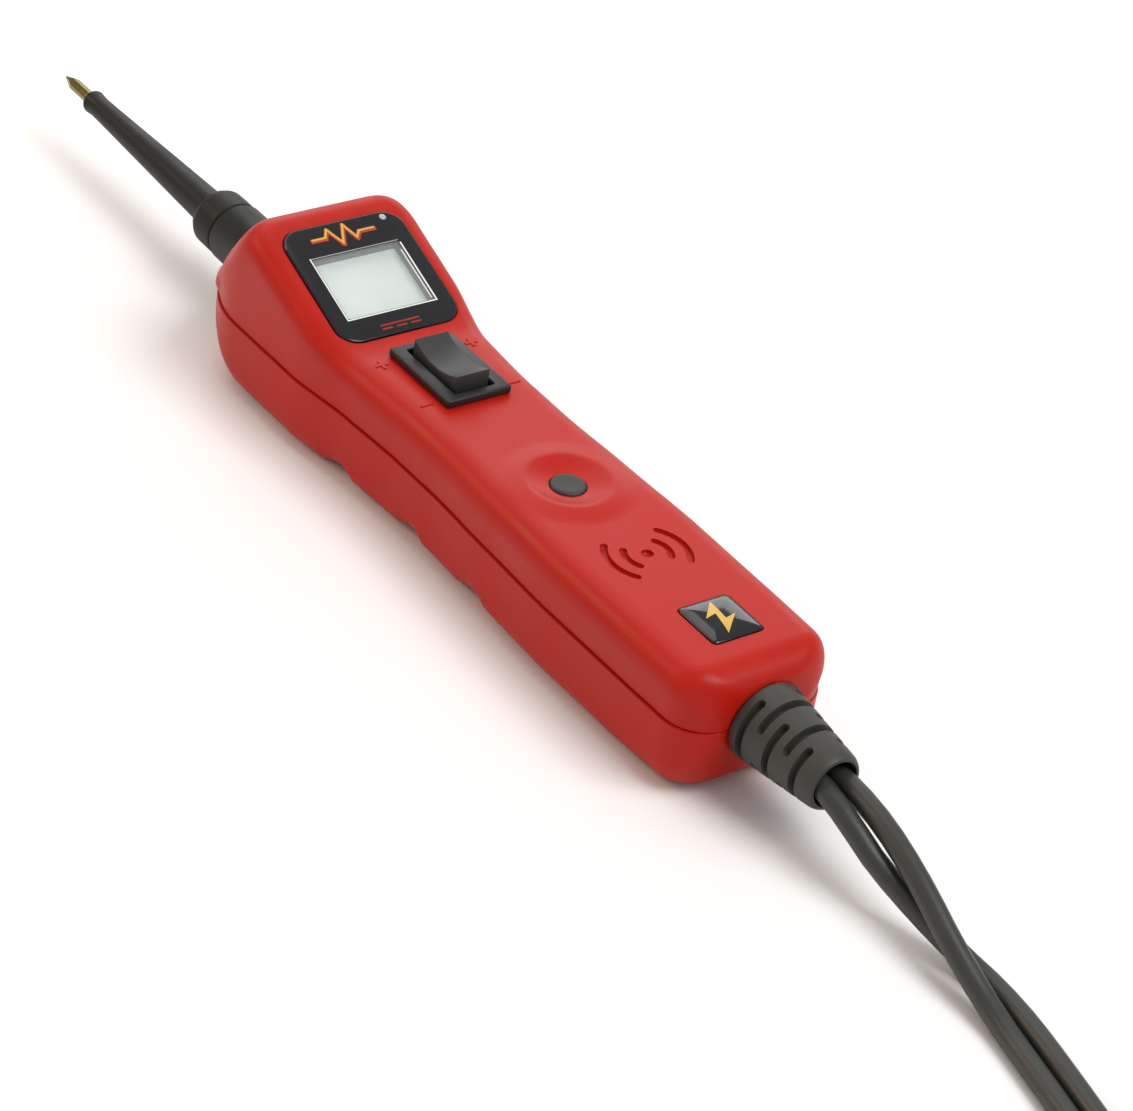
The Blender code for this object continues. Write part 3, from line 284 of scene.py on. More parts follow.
def placed(piece, body, slot, look, *nodes):
    """Give a finished piece its material and body, and hide the CAD nodes that it stands for; slot
    is not used.
    """
    dress(piece, look)
    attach(piece, body)
    if nodes:
        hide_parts(*nodes)
    return piece


def ease(t):
    """A smooth step from 0 to 1."""
    t = max(0.0, min(1.0, t))
    return t * t * (3 - 2 * t)


def between(x, low, high, at_low, at_high):
    """Go smoothly from one value to another as x goes from low to high."""
    return at_low + (at_high - at_low) * ease((x - low) / (high - low))


def in_mm(points):
    return [tuple(c * MM for c in point) for point in points]


def smooth(route, pitch):
    """Points a pitch apart on a smooth curve through a route."""
    knots = [Vector(p) for p in route]
    knots = [knots[0] * 2 - knots[1]] + knots + [knots[-1] * 2 - knots[-2]]
    dense = []
    for a, b, c, d in zip(knots, knots[1:], knots[2:], knots[3:]):
        for step in range(16):
            t = step / 16
            dense.append(0.5 * (2 * b + (c - a) * t + (2 * a - 5 * b + 4 * c - d) * t ** 2
                                + (3 * b - a - 3 * c + d) * t ** 3))
    dense.append(knots[-2])
    points, left = [dense[0]], pitch
    for a, b in zip(dense, dense[1:]):
        step = (b - a).length
        while step >= left:
            points.append(a.lerp(b, left / step))
            left += pitch
        left -= step
    if (points[-1] - dense[-1]).length < pitch / 2:
        points.pop()
    return points + [dense[-1]]


# ---- materials
def surface(name, colour, roughness, metallic=0.0, grain=2600.0, depth=0.02 * MM, stretch=(1, 1, 1),
            mottle=0.06, patch=90.0, spread=0.06, specular=0.5, coat=0.0):
    """A moulded or metal surface: a fine grain in the bump, and patches in colour and roughness."""
    made = bpy.data.materials.new(name)
    made.use_nodes = True
    nodes, links = made.node_tree.nodes, made.node_tree.links
    shader = filled(nodes["Principled BSDF"], {"Metallic": metallic, "Specular IOR Level": specular,
                                               "Coat Weight": coat, "Coat Roughness": 0.08})
    place = nodes.new("ShaderNodeTexCoord")
    scale = filled(nodes.new("ShaderNodeMapping"), {"Scale": stretch})
    links.new(place.outputs["Object"], scale.inputs["Vector"])
    fine = filled(nodes.new("ShaderNodeTexNoise"), {"Scale": grain, "Detail": 3.0})
    broad = filled(nodes.new("ShaderNodeTexNoise"), {"Scale": patch, "Detail": 5.0})
    for texture in (fine, broad):
        links.new(scale.outputs["Vector"], texture.inputs["Vector"])
    tint = nodes.new("ShaderNodeValToRGB")
    for stop, position, change in zip(tint.color_ramp.elements, (0.3, 0.7), (-mottle, mottle)):
        stop.position = position
        stop.color = (*[min(1.0, c * (1 + change)) for c in colour], 1.0)
    links.new(broad.outputs["Fac"], tint.inputs["Fac"])
    links.new(tint.outputs["Color"], shader.inputs["Base Color"])
    gloss = filled(nodes.new("ShaderNodeMapRange"),
                   {"From Min": 0.3, "From Max": 0.7, "To Min": max(0.02, roughness - spread),
                    "To Max": roughness + spread})
    links.new(broad.outputs["Fac"], gloss.inputs["Value"])
    links.new(gloss.outputs["Result"], shader.inputs["Roughness"])
    bump = filled(nodes.new("ShaderNodeBump"), {"Strength": 1.0, "Distance": depth})
    links.new(fine.outputs["Fac"], bump.inputs["Height"])
    links.new(bump.outputs["Normal"], shader.inputs["Normal"])
    return made


def ink(name, colour):
    return surface(name, colour, 0.35, grain=1500.0, depth=0.004 * MM)


def clear_glass(name, colour, alpha):
    """A thin see-through window with a glossy face."""
    made = surface(name, colour, 0.05, grain=400.0, depth=0.002 * MM, spread=0.02, mottle=0.02)
    filled(made.node_tree.nodes["Principled BSDF"], {"Alpha": alpha})
    return made


def woven(name, colour, threads):
    """A narrow woven strap: threads over and under each other."""
    made = surface(name, colour, 0.85, grain=1800.0, depth=0.05 * MM, mottle=0.25, patch=700.0)
    nodes, links = made.node_tree.nodes, made.node_tree.links
    place = nodes["Texture Coordinate"]
    height = None
    for direction in "XYZ":
        wave = filled(nodes.new("ShaderNodeTexWave"), {"Scale": threads, "Distortion": 0.6})
        wave.bands_direction = direction
        links.new(place.outputs["Object"], wave.inputs["Vector"])
        if height is None:
            height = wave.outputs["Fac"]
            continue
        mixed = nodes.new("ShaderNodeMath")
        mixed.operation = "MULTIPLY"
        links.new(height, mixed.inputs[0])
        links.new(wave.outputs["Fac"], mixed.inputs[1])
        height = mixed.outputs["Value"]
    bump = filled(nodes.new("ShaderNodeBump"), {"Distance": 0.15 * MM})
    links.new(height, bump.inputs["Height"])
    links.new(nodes["Bump"].outputs["Normal"], bump.inputs["Normal"])
    links.new(bump.outputs["Normal"], nodes["Principled BSDF"].inputs["Normal"])
    return made


RED = surface("red_shell", (0.42, 0.010, 0.004), 0.40, depth=0.012 * MM, mottle=0.03, specular=0.19)
BLACK = surface("black_plastic", (0.016, 0.016, 0.016), 0.38, depth=0.015 * MM, specular=0.3)
ROCKER_GREY = surface("rocker_plastic", (0.034, 0.034, 0.035), 0.42, depth=0.012 * MM, specular=0.3)
BUTTON_GREY = surface("button_rubber", (0.036, 0.035, 0.034), 0.5, specular=0.3)
GLOSS_BLACK = surface("gloss_black", (0.008, 0.008, 0.010), 0.09, depth=0.002 * MM, spread=0.03)
RUBBER = surface("matt_rubber", (0.008, 0.008, 0.0065), 0.44, specular=0.22)
RELIEF_RUBBER = surface("relief_rubber", (0.042, 0.041, 0.034), 0.48, specular=0.35)
LEAD_RUBBER = surface("lead_rubber", (0.028, 0.028, 0.022), 0.42, grain=1400.0, depth=0.03 * MM)
BRASS = surface("turned_brass", (0.20, 0.14, 0.045), 0.24, 1.0, grain=900.0, depth=0.01 * MM,
                stretch=(8, 1, 1), mottle=0.12, patch=160.0, spread=0.08)
STEEL = surface("plated_steel", (0.56, 0.57, 0.58), 0.30, 1.0, grain=900.0, depth=0.01 * MM,
                stretch=(0.15, 1, 1), patch=120.0, spread=0.08)
GOLD = ink("gold_print", (0.62, 0.36, 0.06))
RED_PRINT = ink("red_print", (0.30, 0.012, 0.008))
WHITE = surface("white_plastic", (0.80, 0.80, 0.78), 0.45)
WELL = surface("window_well", (0.10, 0.105, 0.11), 0.3)
# Grey for the faint painted glint along one edge of the display window
FAINT_GLINT_GREY = ink("faint_glint_grey", (0.30, 0.30, 0.31))
RED_GLOW = ink("red_glow", (0.45, 0.03, 0.01))
BOARD_GREEN = surface("solder_mask", (0.02, 0.16, 0.06), 0.3, patch=220.0, mottle=0.2)
AMBER = surface("amber_film", (0.60, 0.30, 0.05), 0.35)
LCD_GREY = surface("lcd_panel", (0.66, 0.72, 0.68), 0.22, grain=1200.0, depth=0.003 * MM, coat=0.6)
RED_VINYL = surface("red_vinyl", (0.55, 0.018, 0.014), 0.3, coat=0.2)
BLACK_VINYL = surface("black_vinyl", (0.018, 0.018, 0.018), 0.3, coat=0.2)
STRAP = woven("strap_weave", (0.020, 0.020, 0.022), 450.0)
WINDOW = clear_glass("window_glass", (0.82, 0.88, 0.86), 0.10)
LAMP = clear_glass("lamp_lens", (0.85, 0.90, 0.95), 0.45)


# ---- cords: 6 m battery leads
LEAD = 4.4 * MM
LEAD_SIDE = 2.3 * MM
COIL_CENTRE = Vector((298.0, 37.0)) * MM
STRAND_PITCH = 4.5 * MM
STRANDS = 8
LAYERS = 6
COIL_RADIUS = 54.0 * MM
COIL_BASE = 3.0 * MM
POINTS_A_TURN = 40
POINT_PITCH = 5.0 * MM
# The same routes as the CAD model's, in millimetres: relief to coil, then coil to clip
POSITIVE_ROUTE = ((122.5, 2.3, 15.6), (130.0, 2.3, 15.6), (137.5, 2.3, 15.6), (145.0, 2.0, 15.2),
                  (153.0, 1.2, 14.1), (163.0, 0.0, 11.4), (173.0, -1.3, 7.8), (182.0, -1.9, 4.5),
                  (189.0, -2.5, 2.7), (196.0, -3.8, 2.3), (209.0, -6.6, 2.3), (225.0, -10.2, 2.3),
                  (241.0, -13.9, 2.3), (257.0, -16.7, 2.4), (273.4, -17.5, 3.0))
NEGATIVE_ROUTE = ((122.5, -2.3, 15.6), (130.0, -2.3, 15.6), (137.5, -2.3, 15.3),
                  (145.0, -2.4, 13.5), (153.0, -1.6, 9.8), (163.0, 0.5, 5.8), (173.0, 2.4, 3.0),
                  (180.0, 3.1, 2.3), (188.0, 2.5, 2.3), (196.0, 1.2, 2.3), (209.0, -1.6, 2.3),
                  (225.0, -5.2, 2.3), (241.0, -8.9, 2.3), (254.0, -11.3, 2.5), (265.4, -12.5, 3.0))
POSITIVE_TAIL = ((336.2, -1.2, 30.5), (343.7, 8.4, 30.5), (349.1, 19.5, 30.5), (351.8, 31.4, 30.5),
                 (351.8, 43.6, 30.5), (348.7, 55.9, 30.5), (343.4, 66.0, 30.5), (337.0, 74.4, 31.1),
                 (329.9, 79.5, 32.7), (322.5, 81.5, 34.8), (315.2, 81.1, 36.6))
NEGATIVE_TAIL = ((333.0, 2.0, 30.5), (337.4, 9.1, 30.5), (338.0, 17.5, 30.8), (334.8, 25.2, 31.9),
                 (328.4, 30.7, 33.9), (321.3, 32.6, 35.9), (316.4, 32.6, 36.6))
TAIL_ANGLE = 45
TIE_ANGLES = (180, 60)
TOP_Z = 30.5 * MM
TURNS_A_LAYER = STRANDS // 2
# Which lead is the outer one of its pair on each layer: they change places twice
OUTER_LANE = {"positive": (0, 0, 1, 1, 0, 0), "negative": (1, 1, 0, 0, 1, 1)}


def turn_radius(name, turn):
    """Turns go inwards on even layers and back outwards on odd ones."""
    layer, step = divmod(turn, TURNS_A_LAYER)
    ring = step if layer % 2 == 0 else TURNS_A_LAYER - 1 - step
    return COIL_RADIUS - STRAND_PITCH * (2 * ring + OUTER_LANE[name][layer])


def round_coil(radius, degrees, height):
    """A point on the coil, with 0 degrees at its near side."""
    angle = math.radians(degrees - 90)
    return Vector((COIL_CENTRE.x + radius * math.cos(angle),
                   COIL_CENTRE.y + radius * math.sin(angle), height))


def coil_points(name):
    """A lead's turns, layer on layer, then an arc on the coil's top to where its tail starts.

    Each turn moves to the next one's radius between two angles (move), and a layer's last turn
    climbs to the next layer between two more (rise). Both differ where the leads swap lanes.
    """
    turns = TURNS_A_LAYER * LAYERS
    lanes = OUTER_LANE[name]
    points = []
    for turn in range(turns):
        layer, ring = divmod(turn, TURNS_A_LAYER)
        last_here = ring == TURNS_A_LAYER - 1
        radius = turn_radius(name, turn)
        next_radius = turn_radius(name, min(turn + 1, turns - 1))
        swaps = last_here and layer + 1 < LAYERS and lanes[layer] != lanes[layer + 1]
        came_by_swap = ring == 0 and layer and lanes[layer] != lanes[layer - 1]
        move, rise = (180.0, 300.0), (300.0, 360.0)
        if came_by_swap:
            move = (60.0, 180.0)
        if swaps:
            move = (240.0, 300.0)
            rise = (180.0, 240.0) if lanes[layer] else (300.0, 360.0)
        climb = STRAND_PITCH
        if layer + 1 == LAYERS:
            climb = TOP_Z - COIL_BASE - STRAND_PITCH * layer
            rise = (200.0, 300.0)
        base = COIL_BASE + STRAND_PITCH * layer
        for step in range(POINTS_A_TURN):
            degrees = 360.0 * step / POINTS_A_TURN
            reach = between(degrees, *move, radius, next_radius)
            height = between(degrees, *rise, base, base + climb) if last_here else base
            points.append(round_coil(reach, degrees, height))
    last = turn_radius(name, turns - 1)
    steps = round(POINTS_A_TURN * TAIL_ANGLE / 360)
    return points + [round_coil(last, TAIL_ANGLE * i / steps, TOP_Z) for i in range(steps)]


def lead_points(name, route, tail):
    """The whole of one lead, from inside the strain relief to inside its clip."""
    coil = coil_points(name)
    run_in = [coil[0] - Vector((10 * MM, 0, 0)), coil[0], coil[1]]
    start = smooth(in_mm(route) + run_in, POINT_PITCH)
    while start[-1].x > coil[0].x - POINT_PITCH / 2:
        start.pop()
    return start + coil + smooth(in_mm(tail), POINT_PITCH)


def make_leads():
    for name, side, route, tail in (("positive", LEAD_SIDE, POSITIVE_ROUTE, POSITIVE_TAIL),
                                    ("negative", -LEAD_SIDE, NEGATIVE_ROUTE, NEGATIVE_TAIL)):
        cable = curve_piece(f"{name}_cable", lead_points(name, route, tail), LEAD / 2)
        placed(cable, "tester", "lead_rubber", LEAD_RUBBER, f"{name}_lead", f"{name}_lead_tail",
               "lead_coil")
        make_clip(name)


def make_ties():
    """Woven straps with rounded corners that hold the coil together."""
    inner, outer, low, high = 18.7 * MM, 56.9 * MM, 0.62 * MM, 28.3 * MM
    thick, width = 0.6 * MM, 12 * MM
    middle = ((inner + outer) / 2, (low + high) / 2)
    length, height = outer - inner, high - low
    hole = rounded(middle, length, height, 2.0 * MM)
    outline = rounded(middle, length + 2 * thick, height + 2 * thick, 2.0 * MM + thick)
    for number, angle in enumerate(TIE_ANGLES, 1):
        tie = extruded(f"tie_strap_{number}", outline, -width / 2, width / 2)
        tie = cut(tie, [extruded("hole", hole, -width, width)])
        tie = bevelled(tie, 0.15 * MM, 1)
        tie.data.transform(Matrix.Translation((*COIL_CENTRE, 0.0))
                           @ Matrix.Rotation(math.radians(angle), 4, "Z")
                           @ Matrix.Rotation(math.pi / 2, 4, "X"))
        placed(smoothed(tie), "tester", "strap", STRAP, f"coil_tie_{number}")


# ---- battery clips
CLIP_BASE = 29.1 * MM
CLIP_PIVOTS = {"positive": (269.7 * MM, 62.6 * MM), "negative": (270.5 * MM, 13.8 * MM)}
CLIP_HANDLE_ANGLE = math.radians(17)
# Half, side of the pivot, and the heights between which its steel handle fills the grip
CLIP_HALVES = (("lower", -1, 1.6 * MM, 13.4 * MM), ("upper", 1, 2.8 * MM, 12.2 * MM))
GRIP_LENGTH = 34.2 * MM
GRIP_WIDTH = 6.8 * MM


def make_clip(name):
    """A clip's grips, rivet and spring, and finer edges on its jaws; returns all of its pieces."""
    place = Matrix.Translation((*CLIP_PIVOTS[name], CLIP_BASE)) @ Matrix.Rotation(math.pi, 4, "Z")
    vinyl, slot = (RED_VINYL, "red_vinyl") if name == "positive" else (BLACK_VINYL, "black_vinyl")
    pieces = []
    for half, side, low, high in CLIP_HALVES:
        body = f"{name}_jaw" if half == "upper" else "tester"
        along = Matrix.Translation((-8.0 * MM, side * 6.9 * MM, 0.0))
        along = along @ Matrix.Rotation(math.pi - side * CLIP_HANDLE_ANGLE, 4, "Z")
        outline = rounded((21.1 * MM, 0.0), GRIP_LENGTH, GRIP_WIDTH, 2.4 * MM)
        grip = extruded(f"{name}_{half}_sleeve", outline, 0.1 * MM, 14.9 * MM)
        grip = bevelled(grip, 1.1 * MM, 3, 50)
        notches = [block("notch", (d * MM, s * 3.15 * MM, 2.4 * MM),
                         ((d + 0.8) * MM, s * 3.6 * MM, 12.6 * MM))
                   for d in range(12, 34, 3) for s in (-1, 1)]
        inside = block("inside", (0.0, -2.2 * MM, low), (36.4 * MM, 2.2 * MM, high))
        grip = cut(cut(grip, notches), [inside])
        grip.data.transform(place @ along)
        placed(smoothed(grip), body, slot, vinyl, f"{name}_{half}_grip")
        jaw = NODES[f"{name}_{half}_jaw"]
        add_bevel(jaw, 0.15 * MM)
        dress(jaw, STEEL)
        pieces += [grip, jaw]
    head = [(0.9, 0.0), (0.92, 1.6), (1.05, 2.5), (1.3, 3.0), (1.6, 3.2), (1.6, 2.0)]
    profile = head + [(15.0 - height, radius) for height, radius in reversed(head)]
    rivet = turned(f"{name}_clip_rivet", [(h * MM + CLIP_BASE, r * MM) for h, r in profile], 32,
                   centre=CLIP_PIVOTS[name], axis="Z")
    placed(smoothed(rivet), "tester", "steel", STEEL, f"{name}_rivet")
    low, rise, leg = 5.6 * MM, 3.8 * MM, (-8.0 * MM, 2.9 * MM)
    steps = 84
    wire = [Vector((*leg, low))]
    for step, (x, y) in enumerate(arc_of((0.0, 0.0), 2.95 * MM, 160, 160 + 3 * 360 + 40, steps)):
        wire.append(Vector((x, y, low + rise * step / steps)))
    wire.append(Vector((leg[0], -leg[1], low + rise)))
    spring = curve_piece(f"{name}_torsion_spring", [place @ point for point in wire], 0.45 * MM)
    placed(spring, "tester", "steel", STEEL, f"{name}_spring")
    return pieces + [rivet, spring]


# ---- housing
GAP = 0.3 * MM
SEAM_GAP = 0.18 * MM
SEAM_Z = 15.6 * MM
HANDLE_Z = 27.0 * MM
AXIS_Z = 15.6 * MM
WALL = 2.0 * MM
LEDGE = 0.5 * MM
NOSE_X = -55.0 * MM
NOSE_LENGTH = 21.0 * MM
TAIL_X = 116.8 * MM
TAIL_PLAN_RADIUS = 8.0 * MM
TAIL_TOP_RADIUS = 6.5 * MM
TAIL_BOTTOM_RADIUS = 9.0 * MM
WAIST = ((-34.0, 18.8), (-12.0, 18.6), (4.0, 16.6), (20.0, 15.7), (34.0, 15.6),
         (52.0, 16.4), (72.0, 17.1), (95.0, 16.9), (120.0, 16.5))
UPPER_SWELL = 0.55 * MM
TILT = math.radians(19.9)
LABEL_REAR_X = -2.45 * MM
LABEL_REAR_Z = 27.4 * MM
LABEL_LENGTH = 29.3 * MM
LABEL_WIDTH = 28.5 * MM
NOSE_FACE_X = -52.5 * MM
NOSE_FACE_Z = 20.8 * MM
NOSE_FACE_SLOPE = 1.06
RIDGE_SOFTNESS = 1.6 * MM
FOOT_FROM_X = -5.0 * MM
FOOT_TO_X = 3.0 * MM
BELLY_X = -31.0 * MM
BELLY_LENGTH = 23.5 * MM
BELLY_RISE = 8.6 * MM
SCOOPS_X = (-3.6 * MM, 20.6 * MM, 43.2 * MM)
SCOOP_LENGTH = 10.8 * MM
SCOOP_DEPTH = 1.6 * MM
BUTTON_X = 53.55 * MM
DISH_RADIUS = 8.4 * MM
DISH_DEPTH = 1.7 * MM
DISH_RIM = 0.6 * MM
DISH_LEAD_IN = 14.2 * MM
BUTTON_RADIUS = 3.6 * MM
SPEAKER_X = 78.65 * MM
BADGE_X = 100.95 * MM
BADGE_SIZE = 11.5 * MM
ROCKER_X = 13.3 * MM
ROCKER_PIVOT_Z = 26.5 * MM
COLLAR_RADIUS = 6.65 * MM
RELIEF_HOLE_RADIUS = 7.65 * MM
WORK_LIGHT_RADIUS = 1.5 * MM
SCREW_HEAD_RADIUS = 3.0 * MM
HOUSING_SCREWS = ((-28.0 * MM, 14.0 * MM), (101.5 * MM, 11.0 * MM))
LAMP_BOSS = (-47.3 * MM, 18.2 * MM)
WORK_LIGHT = (-49.6 * MM, 13.0 * MM, 18.2 * MM)


def round_off(t):
    """How far a quarter ellipse has fallen at the share t of its length."""
    return 1 - math.sqrt(max(0.0, 1 - min(1.0, t) ** 2))


def half_width(x, inset):
    """Half of the housing's width at x, with a wall's thickness taken off as inset."""
    mm = min(max(x / MM, WAIST[0][0]), WAIST[-1][0])
    for (x0, w0), (x1, w1) in zip(WAIST, WAIST[1:]):
        if x0 <= mm <= x1:
            share = (mm - x0) / (x1 - x0)
            width = (w0 + (w1 - w0) * (share + ease(share)) / 2) * MM
    width -= inset
    nose_start = NOSE_X + NOSE_LENGTH
    if x < nose_start:
        width *= 1 - round_off((nose_start - x) / (NOSE_LENGTH - inset))
    tail_start = TAIL_X - TAIL_PLAN_RADIUS
    if x > tail_start:
        radius = TAIL_PLAN_RADIUS - inset
        width -= radius * round_off((x - tail_start) / radius)
    return width


def top(x, inset):
    """The height of the top: handle, curve up to the tilted display, ridge, nose face, tail."""
    line = LABEL_REAR_Z + (LABEL_REAR_X - x) * math.tan(TILT)
    if x > FOOT_TO_X:
        height = HANDLE_Z
    elif x > FOOT_FROM_X:
        height = HANDLE_Z + (FOOT_TO_X - x) ** 2 / (16 * MM) * math.tan(TILT)
    else:
        face = NOSE_FACE_Z + (x - NOSE_FACE_X) * NOSE_FACE_SLOPE
        soft = RIDGE_SOFTNESS
        height = -soft * math.log(math.exp(-line / soft) + math.exp(-face / soft))
    start = TAIL_X - TAIL_TOP_RADIUS
    if x > start:
        height -= TAIL_TOP_RADIUS * round_off((x - start) / (TAIL_TOP_RADIUS - inset)) * 0.8
    return height - inset


def bottom(x, inset):
    """The height of the base: the belly's rise to the nose, finger scoops, tail."""
    height = 0.0
    if x < BELLY_X:
        height = BELLY_RISE * (1 - math.cos(math.pi / 2 * min(1.0, (BELLY_X - x) / BELLY_LENGTH)))
    for start in SCOOPS_X:
        share = (x - start) / SCOOP_LENGTH
        if 0 < share < 1:
            height += SCOOP_DEPTH * math.sin(math.pi * share ** 1.25)
    start = TAIL_X - TAIL_BOTTOM_RADIUS
    if x > start:
        height += TAIL_BOTTOM_RADIUS * round_off((x - start) / (TAIL_BOTTOM_RADIUS - inset)) * 0.8
    return height + inset


def upper_half(x, inset=0.0, side=6, corner=12, flat=24):
    """The +Y half of the upper cover's outline at x, from the seam to the middle of its top."""
    width, high = half_width(x, inset), top(x, inset)
    radius = between(x, -42 * MM, -28 * MM, 9.5 * MM, 4.6 * MM)
    radius = radius if x < -20 * MM else between(x, -6 * MM, 12 * MM, 4.5 * MM, 5.4 * MM)
    radius = min(max(1.2 * MM, radius - inset), (high - SEAM_Z) * 0.95, width * 0.9)
    swell = UPPER_SWELL * min(1.0, width / (10 * MM))
    low = SEAM_Z + SEAM_GAP / 2
    edge = high - radius
    half = [] if inset else [(width - 0.12 * MM, low)]
    start = low if inset else low + 0.12 * MM
    for step in range(side):
        share = step / side
        half.append((width + swell * share, start + (edge - start) * share))
    half += arc_of((width + swell - radius, edge), radius, 0, 90, corner)
    across = half[-1][0]
    half += [(across * (1 - step / flat), high) for step in range(1, flat + 1)]
    return half


def lower_half(x, inset=0.0, side=5, corner=12, flat=4):
    """The +Y half of the lower cover's outline at x, from the seam to the middle of its base."""
    width, low = half_width(x, inset), bottom(x, inset)
    radius = between(x, -50 * MM, -32 * MM, 9.5 * MM, 6 * MM)
    radius = radius if x < 90 * MM else between(x, 90 * MM, TAIL_X, 6 * MM, 7.5 * MM)
    radius = min(max(1.2 * MM, radius - inset), (SEAM_Z - low) * 0.95, width * 0.9)
    if not inset:
        width += LEDGE * min(1.0, width / (10 * MM))
    high = SEAM_Z - SEAM_GAP / 2
    edge = low + radius
    half = [] if inset else [(width - 0.42 * MM, high), (width - 0.12 * MM, high - 0.05 * MM)]
    start = high if inset else high - 0.22 * MM
    for step in range(side):
        half.append((width, start + (edge - start) * step / side))
    half += arc_of((width - radius, edge), radius, 0, -90, corner)
    across = half[-1][0]
    half += [(across * (1 - step / flat), low) for step in range(1, flat + 1)]
    return half


def dished(x, y, z):
    """Press the finger dish of the mode button into the top, inside a soft raised rim."""
    distance = math.hypot(x - BUTTON_X, y)
    if z < HANDLE_Z - 2.5 * MM or distance > DISH_LEAD_IN:
        return z
    soft = 0.08 * MM
    bowl = DISH_DEPTH * (1 - (distance / DISH_RADIUS) ** 2)
    bowl = soft * math.log(1 + math.exp(min(60.0, bowl / soft)))
    rim = DISH_RIM * ease((DISH_LEAD_IN - distance) / (DISH_LEAD_IN - DISH_RADIUS))
    return z - bowl + rim * ease((z - HANDLE_Z + 2.5 * MM) / (2.0 * MM))


def bossed(x, y, z):
    """Swell the nose's sides where the work lights sit."""
    out = 1 - ((x - LAMP_BOSS[0]) / (4.4 * MM)) ** 2 - ((z - LAMP_BOSS[1]) / (2.6 * MM)) ** 2
    return y + 0.6 * MM * ease(out * 1.2) * (1 if y > 0 else -1) if out > 0 else y


def stations(fine):
    """Where the cross-sections stand: close together at the ends, the display's foot and fine."""
    places = [NOSE_X + 0.06 * MM]
    while places[-1] < TAIL_X - 0.06 * MM:
        x = places[-1]
        step = 1.6
        if x < NOSE_X + 4 * MM:
            step = 0.25 + 0.75 * (x - NOSE_X) / (4 * MM)
        elif x < -30 * MM:
            step = 0.9
        elif FOOT_FROM_X - 1 * MM < x < FOOT_TO_X:
            step = 0.8
        elif fine == "dish" and abs(x - BUTTON_X) < 16.5 * MM:
            step = 0.5
        elif fine == "scoops" and x < 56 * MM:
            step = 0.7
        elif x > TAIL_X - 10 * MM:
            step = max(0.12, 0.8 * math.sqrt(max(0.0, (TAIL_X - x) / (10 * MM))))
        places.append(min(x + step * MM, TAIL_X - 0.05 * MM))
    return places


def mirrored(x, half):
    """A whole cross-section at x, from its +Y half."""
    return [Vector((x, y, z)) for y, z in half + [(-y, z) for y, z in reversed(half[:-1])]]


def shell(name, half, fine, change=None):
    rings = [mirrored(x, half(x)) for x in stations(fine)]
    if change:
        rings = [[change(point) for point in ring] for ring in rings]
    return loft(name, rings)


def cavity(half, past_seam):
    """The hollow of a cover, cut past the seam by a little."""
    rings = []
    x = NOSE_X + WALL + 0.4 * MM
    while x < TAIL_X - WALL:
        points = half(x, WALL, 2, 4, 1)
        points[0] = (points[0][0], past_seam)
        rings.append(mirrored(x, points))
        x += 2.5 * MM
    return loft("cavity", rings)


def end_holes():
    return [rod("collar_hole", (0.0, AXIS_Z), COLLAR_RADIUS + GAP, -60 * MM, -48 * MM, "X", 64),
            rod("relief_hole", (0.0, AXIS_Z), RELIEF_HOLE_RADIUS, 110 * MM, 120 * MM, "X", 64)]


LABEL_PLACE = (Matrix.Translation((LABEL_REAR_X - LABEL_LENGTH / 2 * math.cos(TILT), 0.0,
                                   LABEL_REAR_Z + LABEL_LENGTH / 2 * math.sin(TILT)))
               @ Matrix.Rotation(TILT, 4, "Y"))


def on_label(obj, x=0.0, y=0.0):
    """Move a shape made round the label's middle to its place on the display's plane."""
    obj.data.transform(LABEL_PLACE @ Matrix.Translation((x, y, 0.0)))
    return obj


def end_share(to_end, half):
    """The share of its half width that a slot with round ends has, at a distance from its end."""
    if to_end >= half:
        return 1.0
    return math.sqrt(max(0.02, 1 - (1 - to_end / half) ** 2))


def groove(radius, width, middle, half_angle, depth):
    """A cutter for a curved groove in the handle's top, with round ends and a round bottom."""
    rings = []
    reach = half_angle * radius
    for step in range(25):
        along = reach * math.sin(math.pi / 2 * (step / 12 - 1))
        share = end_share(reach - abs(along), width / 2)
        angle = middle + along / radius
        ring = []
        for r, drop in ((-1, -2.0), (-1, 0.45), (-0.72, 0.85), (0, 1.0), (0.72, 0.85), (1, 0.45),
                        (1, -2.0)):
            out = radius + r * width / 2 * share
            z = HANDLE_Z - depth * drop * (share if drop > 0 else 1)
            ring.append(Vector((SPEAKER_X + out * math.cos(angle), out * math.sin(angle), z)))
        rings.append(ring)
    return loft("groove", rings)


def sound_cutters():
    """A dot and two pairs of arcs round it."""
    dot = in_mm([(-1.2, 0.0), (-1.1, 0.7), (-0.7, 1.2), (2.0, 1.3), (2.0, 0.0)])
    cutters = [turned("sound_dot", [(HANDLE_Z + z, r) for z, r in dot], 32,
                      centre=(SPEAKER_X, 0.0), axis="Z")]
    for radius in (4.5 * MM, 8.1 * MM):
        for middle in (math.pi / 2, -math.pi / 2):
            cutters.append(groove(radius, 1.5 * MM, middle, math.radians(46), 1.0 * MM))
    return cutters


